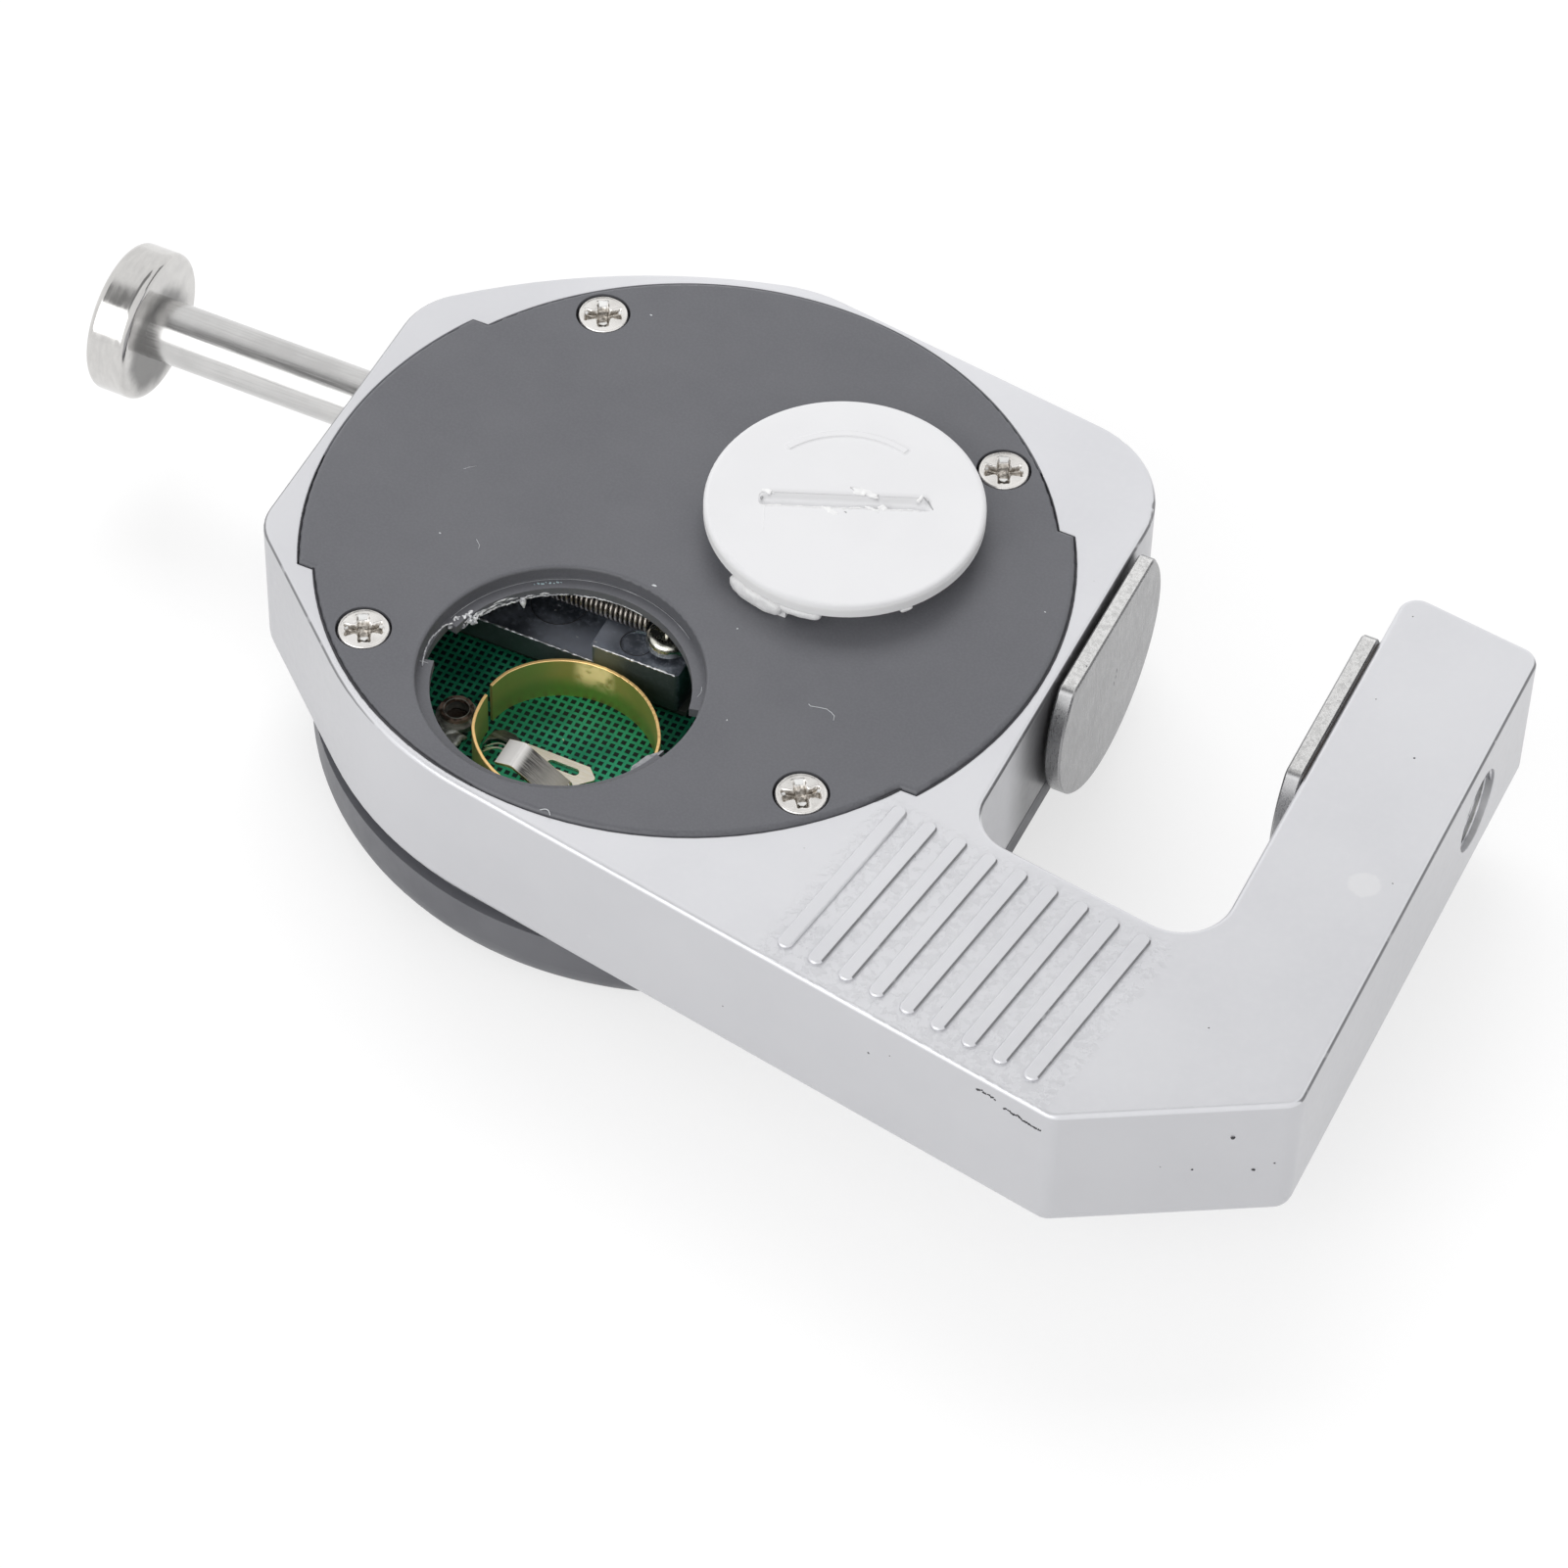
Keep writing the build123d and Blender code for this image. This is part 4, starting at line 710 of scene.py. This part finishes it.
# Battery ring: strip bent a little out of round, with a sheared, uneven top edge
ring_thickness = 0.2
ring_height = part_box("battery_ring")[1].z / MM - board_top
ring_outline = [
    (0, 5.6), (2, 5.72), (17, 5.88), (33, 5.88), (52, 5.85), (69, 5.81), (88, 5.78), (106, 5.81), (122, 5.84),
    (137, 5.9), (147, 5.98), (158, 6), (185, 5.95), (215, 5.7), (240, 5.4), (260, 5.22), (275, 5.12),
    (290, 5.13), (304, 5.2), (315, 5.29), (326, 5.4), (334, 5.42), (344, 5.44), (355, 5.5), (360, 5.6),
]
slit_start, slit_end = 2.4, 354.6
rows = 560
points = []
for r in range(rows + 1):
    swept = slit_start + (slit_end - slit_start) * r / rows
    a = radians(168 - swept)
    outer = blended(ring_outline, swept)
    rough_edge = smooth_step(50, 100, swept) * smooth_step(230, 170, swept)
    tooth = 0.045 * rough_edge * wave(swept * 0.42, 4) + 0.012 * wave(swept * 0.05, y=2)
    top = board_top + ring_height - 0.05 + tooth
    inner = outer - ring_thickness
    for radius, z in (
        (outer, board_top), (outer, top - 0.03), (outer - 0.03, top),
        (inner + 0.03, top), (inner, top - 0.03), (inner, board_top),
    ):
        points.append((well.x + radius * cos(a), well.y + radius * sin(a), z))
ring = add_mesh("bent_ring", [(points, capped(rows + 1, 6))], ring_brass, smooth=False)
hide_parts("battery_ring")

# Carriage: bright worn burr along the front edges of its deck and pad, and round moulding marks
deck_top, pad_top = 9.7, 11.15
carriage_low, carriage_high = (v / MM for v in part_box("carriage"))
pad_left = carriage_high.x - 5.9
worn_edges = []
for start, end, z in ((-12.7, pad_left + 0.1, deck_top), (pad_left + 0.15, pad_left + 5.75, pad_top)):
    line = []
    count = int((end - start) * 14)
    for i in range(count + 1):
        x = start + (end - start) * i / count
        y = near_edge + 0.04 + 0.03 * shake((x, 0, 0), 0.25, z)
        line.append((x, y, z - 0.02 + 0.02 * shake((x, 1, 0), 0.2, z)))
    worn_edges.append(tube(line, lambda t, z=z: 0.04 + 0.075 * max(0, 0.35 + wave(t * 30, z)), 8))
add_mesh("carriage_worn_edges", worn_edges, bright_edge, "spindle_group")
deck_mark = arc_of(1.75, 150, 400, 60, deck_top + 0.005, (carriage_low.x + 5.66, near_edge + 3.34))
pad_mark = arc_of(1, 120, 420, 60, pad_top + 0.005, (carriage_high.x - 3.42, near_edge + 1.35))
rims = [tube(deck_mark, 0.03), tube(pad_mark, 0.03)]
add_mesh("carriage_mark_rims", rims, lint, "spindle_group")

# Battery well: torn flash along its throat, a lump, a drip and pale cut lines
throat_radius = 7.8
shelf_top = cover_top - 0.95
shelf_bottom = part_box("back_cover")[0].z / MM


def round_well(angle, radius, z):
    a = radians(angle)
    return (well.x + radius * cos(a), well.y + radius * sin(a), z)


edge = []
for t in steps(280):
    angle = 78 + 88 * t
    inward = 0.03 + 0.08 * wave(angle * 0.45, 2) + 0.05 * wave(angle * 1.7, 3)
    radius = throat_radius - inward * smooth_step(78, 100, angle)
    edge.append(round_well(angle, radius, shelf_bottom + 0.06 + 0.06 * wave(angle * 0.9, y=3)))
torn = [tube(edge, lambda t: 0.03 + 0.09 * t * abs(wave(t * 45, 5)) + 0.02 * t, 8)]
for angle, length, out, rise in (
    (150, 1.5, 0.1, 0.28), (144, 0.9, 0.04, 0.45), (131, 0.7, 0.1, 0.18), (124, 0.5, 0.06, 0.2),
    (139, 0.6, 0.08, 0.3), (157, 1.1, 0.1, 0.42),
):
    line = []
    for t in steps(24):
        at = angle + (t - 0.5) * length * 9
        height = shelf_bottom + rise + 0.06 * sin(pi * t) + 0.03 * shake((at, 0, 0), 0.8, 3)
        line.append(round_well(at, throat_radius - out * (0.4 + shake((at, 0, 0), 2, 6)), height))
    torn.append(tube(line, lambda t: 0.015 + 0.045 * sin(pi * t), 7))
for angle, radius, height, radii, seed in (
    (161.5, 8.1, 0.42, (0.5, 0.42, 0.22), 2), (166.5, 8.3, 0.52, (0.36, 0.26, 0.15), 3),
    (160, 7.75, 0.15, (0.32, 0.24, 0.2), 4), (156, 7.9, 0.34, (0.26, 0.3, 0.14), 5),
    (164.5, 8, 0.12, (0.26, 0.2, 0.16), 6), (168.5, 8.2, 0.4, (0.22, 0.26, 0.12), 7),
):
    torn.append(blob(round_well(angle, radius, shelf_bottom + height), radii, 0.95, 0.17, seed, 28, 36))
x, y, z = round_well(134.2, 7.74, shelf_bottom + 0.25)
drip = [(x + 0.02 * i, y - 0.015 * i, z - 0.09 * i) for i in range(9)]
torn.append(tube(drip, lambda t: 0.05 + 0.15 * sin(pi * min(1, 0.22 + 0.74 * t)) ** 2, 14))
cut_path = [
    (169.2, 8.14), (171.7, 8.4), (175.6, 8.5), (180.3, 8.6), (184.3, 8.58), (188.2, 8.54), (192.9, 8.44),
    (196, 8.4),
]
cut_line = []
for t in steps(60):
    angle = 169.2 + 26.8 * t
    radius = blended(cut_path, angle) + 0.04 * wave(angle * 0.6, 8)
    cut_line.append(round_well(angle, radius, shelf_top + 0.01))
torn.append(tube(cut_line, lambda t: 0.035 + 0.06 * abs(wave(t * 14, 9, 1)), 7))
add_mesh("well_flash", torn, torn_grey)

# Small flap of plastic left at the end of the right notch
flap_edge = [(0, 7.62), (0.1, 7.55), (0.35, 7.25), (0.8, 7.34), (1, 7.78)]
flap = []
for t in steps(25):
    inner = blended(flap_edge, t) + 0.03 * wave(t * 9)
    outer = throat_radius + 0.05
    for radius, z in ((inner, 0.34), (outer, 0.5), (outer, 0.12), (inner, 0.2)):
        flap.append(round_well(-12.6 - 20 * t, radius, shelf_bottom + z))
add_mesh("well_flap", [(flap, capped(25, 4))], flap_grey, smooth=False)

# Thin pale scratches and marks on the shelf and the cover, and lint on the cover
scratches = []
for places in (
    [(-11.05, -14.6), (-10.55, -14.5), (-10.1, -14.45)],
    [(5.3, -8.9), (5.45, -9.3), (5.4, -9.7)],
):
    scratches.append(tube([(x, y, shelf_top + 0.01) for x, y in places], 0.02))
rim_line = [round_well(52 + 1.5 * i, 8.5, shelf_top + 0.01) for i in range(78)]
scratches.append(tube(rim_line, lambda t: 0.012 + 0.012 * max(0, wave(t * 18, 1))))
add_mesh("pale_scratches", scratches, pale_lint)
smudge = [
    blob(round_well(angle, 8.22 + side, shelf_top), (size, 0.6 * size, 0.04), 0.8, 0.1, angle, 8, 14)
    for angle, side, size in (
        (128, 0, 0.06), (126.2, 0.05, 0.09), (124.6, -0.03, 0.11), (122.9, 0.04, 0.08),
        (121.4, 0, 0.11), (119.6, -0.05, 0.07), (118, 0.02, 0.1), (116.6, 0, 0.05),
    )
]
add_mesh("shelf_smudge", smudge, teal_wax)


def on_cover(*places, lift=0.02):
    return [(x, y, cover_top + lift) for x, y in places]


hair = on_cover(
    (11.88, -8.03), (12.04, -8.12), (12.49, -8.01), (12.99, -7.91), (13.35, -8.03), (13.63, -8.19),
    (13.73, -8.52),
)
add_mesh("cover_hairs", [tube(hair, 0.022, 7)], pale_lint)
flecks = [
    blob((x, y, cover_top + 0.01), radii, rough, 0.1, seed)
    for x, y, radii, rough, seed in (
        (-0.45, -3.65, (0.16, 0.07, 0.04), 0.4, 1), (5.52, -4.53, (0.05, 0.05, 0.03), 0.4, 5),
        (21.41, 4.89, (0.07, 0.03, 0.02), 0.4, 6), (-10.64, 16.6, (0.09, 0.05, 0.03), 0.4, 8),
        (8.1, -11.3, (0.05, 0.05, 0.03), 0.3, 2), (-13.9, -5.6, (0.07, 0.04, 0.03), 0.3, 3),
        (2, -19.9, (0.05, 0.04, 0.03), 0.3, 4),
    )
]
fibre = [(1.39 + 0.1 * i, -22.38 - 0.02 * i + 0.28 * sin(0.42 * i), cover_top + 0.03) for i in range(8)]
flecks.append(tube(fibre, 0.028))
flecks.append(tube(on_cover((-15.06, -0.26), (-14.8, 0.04), (-14.46, 0.29), lift=0.005), 0.014))
flecks.append(tube(on_cover((-11.69, -5.07), (-11.31, -5.41), (-11.21, -5.74), lift=0.005), 0.016))
add_mesh("cover_flecks", flecks, pale_lint)

# Dark smears and pits on the frame's lower sides, and small marks on its back
side_angle = radians(9.4)
side_slope, side_start = tan(side_angle), -23.1 / cos(side_angle)
chamfer_start, chamfer_end = (37.1, -29.56), (49.3, -22.5)
smears = []
for i, t in enumerate(steps(34)):
    x = 32.3 + 4.2 * t
    if 0.3 < t < 0.42:
        continue
    z = blended([(0, 14.45), (0.3, 14.4), (0.42, 14.05), (1, 13.85)], t) + 0.14 * shake((x, 0, 0), 0.16, 2)
    size = 0.07 + 0.07 * abs(shake((x, 4, 0), 0.2, 3))
    place = (x, side_start - x * side_slope, z)
    smears.append(blob(place, (1.1 * size, 0.012, 1 * size), 0.9, 0.07, i))
for t, z, size in (
    (0.74, 12.8, 0.16), (0.84, 9.7, 0.11), (0.925, 10.2, 0.06), (0.59, 10, 0.08), (0.46, 10.4, 0.04)
):
    x, y = (start + (end - start) * t for start, end in zip(chamfer_start, chamfer_end))
    smears.append(blob((x, y, z), (size, 0.6 * size, 0.6 * size), 0.8, 0.1, 20 * t))
for x, z, size in ((26.4, 13, 0.05), (25, 12.2, 0.06), (15, 9, 0.04)):
    smears.append(blob((x, side_start - x * side_slope, z), (size, 0.012, size), 0.6, 0.1, x))
for x, y, size in (
    (41.24, 14.6, 0.05), (45.47, 4.25, 0.08), (41.73, 7.5, 0.05), (47.9, -5.2, 0.05), (42.5, -19.7, 0.05),
    (24.1, -17.6, 0.05), (22.3, -15.7, 0.06), (35.6, -19.1, 0.05),
):
    smears.append(blob((x, y, frame_top), (size, 0.8 * size, 0.012), 0.6, 0.1, x))
add_mesh("frame_smears", smears, lint)

# The cover's seam and its radii: painted shade in its lower and right parts, and cover plastic closing the
# rest
seam, wide_seam = 22.55, 23.45
seams = []
# Painted shade: dark tubes along the seam stand in for the gap's shade
for radius, start, end, size in (
    (wide_seam, 188, 208.8, 0.075), (seam, 209.5, 262, 0.105), (seam, -35, -30.2, 0.08),
    (wide_seam, -29, 29, 0.08), (seam, 30.2, 42, 0.06),
):

    def seam_size(t, size=size):
        rough = 0.75 + 0.5 * abs(wave(t * 40))
        return size * rough * sin(pi * min(max(t, 0.02), 0.98)) ** 0.3

    seams.append(tube(arc_of(radius, start, end, 90, frame_top + 0.02), seam_size, 7))
add_mesh("cover_seam_shade", seams, lint)
filled = arc_of(seam, 43, 149.45, 120, frame_top - 0.045)
filled += arc_of(wide_seam, 150.77, 187, 40, frame_top - 0.045)
add_mesh("cover_seam_fill", [tube(filled, 0.075, 8)], cover_plastic)

# Dark lip of the front housing along the foot of the throat wall
lip_out, lip_in, lip_low, lip_high = throat_wall + 0.015, 23.1, 5.2, 6.85
profile = [
    (lip_in, lip_low), (lip_out - 0.1, lip_low), (lip_out, lip_low + 0.1), (lip_out, lip_high),
    (lip_in, lip_high),
]
lip = [(x, y, z) for y in (-9.4, -3, 3, 9.4) for x, z in profile]
add_mesh("throat_lip", [(lip, capped(4, 5))], case_plastic, smooth=False)

# Painted shade: a dark tube in the gap behind the fixed anvil; and marks on the moving anvil
flat_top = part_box("fixed_anvil")[1].z / MM
gap_shade_line = [(arm_inner, y, flat_top - 0.01) for y in (-0.2, 3, 6, 9, 11.6)]
add_mesh("fixed_anvil_gap_shade", [tube(gap_shade_line, 0.055, 8)], painted_shade_dark)
mark_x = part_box("moving_anvil")[1].x / MM - 0.018
marks = [
    tube([(mark_x, y, z), (mark_x, y + 0.03, z + 0.28)], 0.03)
    for y, z in ((6.95, 10.25), (6.83, 9.8), (6.66, 9.35))
]
add_mesh("moving_anvil_marks", marks, lint, "spindle_group")

# Thread in the fixed anvil's screw hole
hole = middle_of("anvil_screw")
arm_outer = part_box("frame")[1].x / MM
thread = []
for i in range(9 * 40 + 1):
    a = 2 * pi * i / 40
    thread.append((arm_outer - 0.25 - 2.9 * i / 360, hole.y + 2.63 * cos(a), hole.z + 2.63 * sin(a)))
add_mesh("arm_hole_thread", [tube(thread, 0.09, 8)], thread_metal)

# Solder by the eyelet, the dark clip the leaf is held by, tinned strands, the eyelet's lip, and painted shade
# in its bore
eyelet = middle_of("contact_eyelet")
dabs = [
    blob((eyelet.x + 0.35, eyelet.y - 1.55, board_top + 0.12), (0.95, 0.55, 0.3), 0.5, 0.4, 1, 18, 24),
    blob((eyelet.x - 0.5, eyelet.y - 1.25, board_top + 0.08), (0.6, 0.4, 0.22), 0.5, 0.35, 2, 18, 24),
]
add_mesh("solder_dabs", dabs, solder)
clip = [(-7.15, -13), (-7, -12.45), (-6.5, -12.15), (-5.7, -12.2), (-4.9, -12.75)]
points = []
for t in steps(33):
    k = min(int(4 * t), 3)
    x, y = (start + (end - start) * (4 * t - k) for start, end in zip(clip[k], clip[k + 1]))
    for aside, rise in ((0.42, 0.2), (0.42, 0.38), (-0.38, 0.4), (-0.38, 0.2)):
        points.append((x, y + aside, board_top + rise))
faces = grid_faces(33, 4, closed=True)
add_mesh("leaf_clip", [(points, faces)], clip_metal, smooth=False)
strands = []
for shift, bend in ((0, 0.25), (0.22, 0.12), (0.42, 0.3)):
    line = []
    for t in steps(20):
        arch = sin(pi * t)
        x, y = -7 + 1.7 * t + 0.1 * shift, -13.35 - shift + bend * arch + 0.35 * t
        line.append((x, y, board_top + 0.22 + 0.3 * arch))
    strands.append(tube(line, 0.055, 8))
add_mesh("tinned_strands", strands, solder)
lip = arc_of(0.8, 0, 360, 49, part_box("contact_eyelet")[1].z / MM + 0.005, (eyelet.x, eyelet.y))
add_mesh("eyelet_lip", [tube(lip, 0.03)], solder)
# Painted shade: a dark disc down in the eyelet's bore
bore = blob((eyelet.x, eyelet.y, board_top + 0.1), (0.735, 0.735, 0.1), 0.1, 0.4, 1, 12, 32)
add_mesh("eyelet_bore_shade", [bore], painted_shade_dark)

# Battery door: the worn coin slot with its burrs
door_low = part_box("battery_door")[0] / MM
door_place = Vector((7.7, 5.8, door_low.z))
door_turn = radians(23.4)
door_face = door_low.z + 2.2


def on_door(u, v, z):
    """Place of a point given along the coin slot, across it and in height."""
    c, s = cos(door_turn), sin(door_turn)
    return (door_place.x + u * c - v * s, door_place.y + u * s + v * c, z)


slot_half = 5.2
slot_side = 0.55
rows, columns = 120, 12
points = []
for r in range(rows + 1):
    u = -slot_half + 2 * slot_half * r / rows
    ends = smooth_step(slot_half, slot_half - 0.35, abs(u))
    for c in range(columns):
        t = c / (columns - 1)
        v = slot_side - 2 * slot_side * t
        fall = 0.16 * smooth_step(0, 0.45, t) + 0.34 * smooth_step(0.42, 0.85, t)
        depth = 0.02 + fall * ends + 0.015 * shake((u, v, 0), 1.6, 7)
        points.append(on_door(u, v, door_face - depth))
faces = [tuple(reversed(f)) for f in grid_faces(rows + 1, columns)]
add_mesh("door_slot_bed", [(points, faces)], white_plastic, "battery_door")
line = []
for t in steps(200):
    u = -slot_half + 0.1 + (2 * slot_half - 0.8) * t
    v = -slot_side + 0.02 + 0.1 * max(-0.3, shake((u, 0, 0), 0.7, 1)) + 0.04 * shake((u, 0, 0), 0.15, 2)
    line.append(on_door(u, v, door_face - 0.01))
burrs = [tube(line, lambda t: 0.035 + 0.045 * abs(wave(t * 22, 3)), 8)]
for u, v, radii, seed in (
    (2.25, -0.38, (0.24, 0.2, 0.075), 1), (1.1, 0.82, (0.85, 0.3, 0.06), 2),
    (-4.65, 0.62, (0.42, 0.16, 0.07), 3), (-0.7, -0.95, (0.35, 0.18, 0.05), 4),
    (4.5, 0.45, (0.12, 0.35, 0.07), 5), (-1, -0.68, (0.5, 0.14, 0.06), 6),
    (1.6, -0.5, (0.5, 0.1, 0.07), 7),
):
    burrs.append(blob(on_door(u, v, door_face - 0.015), radii, 0.7, 0.22, seed, 14, 22))
scar = [on_door(-4.85 + 0.02 * wave(i * 0.5), -0.6 - 0.105 * i, door_face) for i in range(20)]
burrs.append(tube(scar, 0.018))
# Grey lines along the slanted right end of the slot, and two small grey spots
slot_grey_marks = []
for u, v, du, dv, rise, count, radius in (
    (4.72, 0.62, 0.55, 0.95, 0.01, 12, 0.028), (5, 0.35, 0.3, 0.75, -0.02, 10, 0.04),
):
    line = [on_door(u + du * t, v - dv * t, door_face + rise) for t in steps(count)]
    slot_grey_marks.append(tube(line, radius))
slot_grey_marks += [
    blob(on_door(0.05, -0.86, door_face), (0.12, 0.05, 0.02), 0.5, 0.1, 2),
    blob(on_door(-5.05, 0.1, door_face - 0.05), (0.1, 0.16, 0.03), 0.5, 0.1, 3),
]
add_mesh("door_slot_grey_marks", slot_grey_marks, mark_grey, "battery_door")
add_mesh("door_slot_wear", burrs, torn_white, "battery_door")

# Soft low ridge of the arc above the slot
ridge = []
rows, columns = 90, 15
for r in range(rows + 1):
    t = 2 * r / rows - 1
    a = radians(90 - 41.5 * t)
    taper = sqrt(max(0, 1 - abs(t) ** 24))
    for c in range(columns):
        across = 2 * c / (columns - 1) - 1
        rise = 0.088 * (1 - across * across) * taper - 0.01
        radius = 5.6 + 0.34 * across
        ridge.append(on_door(radius * cos(a), radius * sin(a), door_face + rise))
faces = [tuple(reversed(f)) for f in grid_faces(rows + 1, columns)]
add_mesh("door_arc_ridge", [(ridge, faces)], white_plastic, "battery_door")


# Torn lugs under the door's rim
def torn_lug(start, end, outer, low, high, seed, rough):
    """Lumpy sector under the door's rim, between two angles, with rounded torn edges."""
    rows, columns = 40, 20
    middle = (lug_inner + outer) / 2
    points = []
    for r in range(rows + 1):
        t = r / rows
        a = start + (end - start) * t
        taper = sqrt(max(0, 1 - abs(2 * t - 1) ** 6))
        for c in range(columns):
            b = 2 * pi * c / columns
            side = copysign(abs(cos(b)) ** 0.55, cos(b))
            rise = copysign(abs(sin(b)) ** 0.55, sin(b))
            place = (a * 0.08, side, rise)
            bulge = (1 + rough * shake(place, 0.35, seed) * 2) * (0.6 + 0.4 * taper)
            radius = middle + (outer - middle) * side * bulge
            lump = 1 + rough * shake(place, 0.5, seed + 4)
            z = (low + high) / 2 + (high - low) / 2 * rise * taper * lump
            turned = radians(a)
            points.append(on_door(radius * cos(turned), radius * sin(turned), z))
    return points, grid_faces(rows + 1, columns, closed=True)


lug_inner = 6.8
lug_low, lug_high = door_low.z, door_low.z + 1.28
lumps = [
    torn_lug(217.5, 245.5, 8.74, lug_low + 0.03, lug_high, 1, 0.045),
    torn_lug(244, 262.3, 8.6, lug_low + 0.62, lug_high + 0.04, 2, 0.03),
    torn_lug(294.5, 300.5, 8.58, lug_low + 0.95, lug_high + 0.06, 3, 0.03),
]
add_mesh("door_torn_lugs", lumps, torn_white, "battery_door")


# Floor, world and lights; sizes in metres
def white_to_camera(tree, plain, white, output):
    """Mixes a plain shader with a white one that only camera, glossy and clear rays see."""
    rays = new_node(tree, "LightPath").outputs
    seen = rays["Is Camera Ray"]
    for kind in ("Is Glossy Ray", "Is Transmission Ray"):
        seen = new_node(tree, "Math", {0: seen, 1: rays[kind]}, operation="MAXIMUM").outputs[0]
    mixed = new_node(tree, "MixShader", {0: seen, 1: plain.outputs[0], 2: white.outputs[0]})
    new_node(tree, output, {0: mixed.outputs[0]})


def new_paint(name):
    paint = bpy.data.materials.new(name)
    paint.use_nodes = True
    paint.node_tree.nodes.clear()
    return paint


world = bpy.data.worlds.new("studio")
bpy.context.scene.world = world
world.use_nodes = True
sky = world.node_tree
sky.nodes.clear()
plain = new_node(sky, "Background", {"Color": (1, 1, 1), "Strength": 0.54})
white = new_node(sky, "Background", {"Color": (1, 1, 1), "Strength": 1})
white_to_camera(sky, plain, white, "OutputWorld")

floor_paint = new_paint("floor_paint")
floor_tree = floor_paint.node_tree
base = new_node(floor_tree, "BsdfDiffuse", {"Color": (0.86, 0.86, 0.87)})
dimmed = new_node(floor_tree, "BsdfDiffuse", {"Color": (0.36, 0.36, 0.36)})
glow = new_node(floor_tree, "Emission", {"Color": (1, 1, 1), "Strength": 0.68})
lifted = new_node(floor_tree, "AddShader", {0: dimmed.outputs[0], 1: glow.outputs[0]})
white_to_camera(floor_tree, base, lifted, "OutputMaterial")
bpy.ops.mesh.primitive_plane_add(size=6, location=(0, 0, 0))
floor = bpy.context.object
floor.name = "floor"
floor.data.materials.append(floor_paint)


def aim(thing, place, front):
    """Puts a light or card at a place, with its front turned to the object."""
    thing.location = place
    thing.rotation_mode = "QUATERNION"
    thing.rotation_quaternion = (-Vector(place)).to_track_quat(front, "Y")


def add_light(name, place, size, watts, mirrored):
    """Soft box facing the object; a mirrored one shows in reflections."""
    light = bpy.data.lights.new(name, "AREA")
    light.shape = "RECTANGLE"
    light.size, light.size_y = size
    light.energy = watts
    box = new_object(name, light)
    box.visible_glossy = mirrored
    aim(box, place, "-Z")


def add_card(name, place, size, grey):
    """Dull card that only reflections see; it gives bright metal its dark bands."""
    paint = new_paint(name + "_paint")
    glow = new_node(paint.node_tree, "Emission", {"Color": (grey, grey, grey)})
    new_node(paint.node_tree, "OutputMaterial", {0: glow.outputs[0]})
    bpy.ops.mesh.primitive_plane_add(size=1)
    card = bpy.context.object
    card.name = name
    card.scale = (*size, 1)
    aim(card, place, "Z")
    card.data.materials.append(paint)
    card.visible_camera = card.visible_diffuse = card.visible_shadow = card.visible_transmission = False


add_light("back_box", (-0.3, 0.55, 0.75), (0.7, 0.5), 4.6, mirrored=False)
add_light("front_box", (-0.25, -0.85, 0.55), (1.1, 0.8), 4.2, mirrored=True)
add_card("top_card", (-0.1, 0.04, 0.6), (0.9, 0.3), 0.3)
add_card("side_card", (0.75, 0.6, 0.22), (0.6, 0.3), 0.25)

# Camera at the photograph's place: where it stands, and its right, up and back directions
camera = new_object("camera", bpy.data.cameras.new("camera"))
right = Vector((0.9024388, 0.4303319, 0.0204609))
up = Vector((-0.3403015, 0.6829037, 0.6464035))
back = Vector((0.2641952, -0.5903024, 0.7627214))
turn = Matrix((right, up, back)).transposed()
camera.matrix_world = Matrix.Translation((0.110536, -0.231668, 0.296628)) @ turn.to_4x4()
camera.data.sensor_width = 36
camera.data.lens = 144.84
camera.data.clip_start, camera.data.clip_end = 0.01, 20
bpy.context.scene.camera = camera
bpy.context.scene.view_settings.view_transform = "Standard"
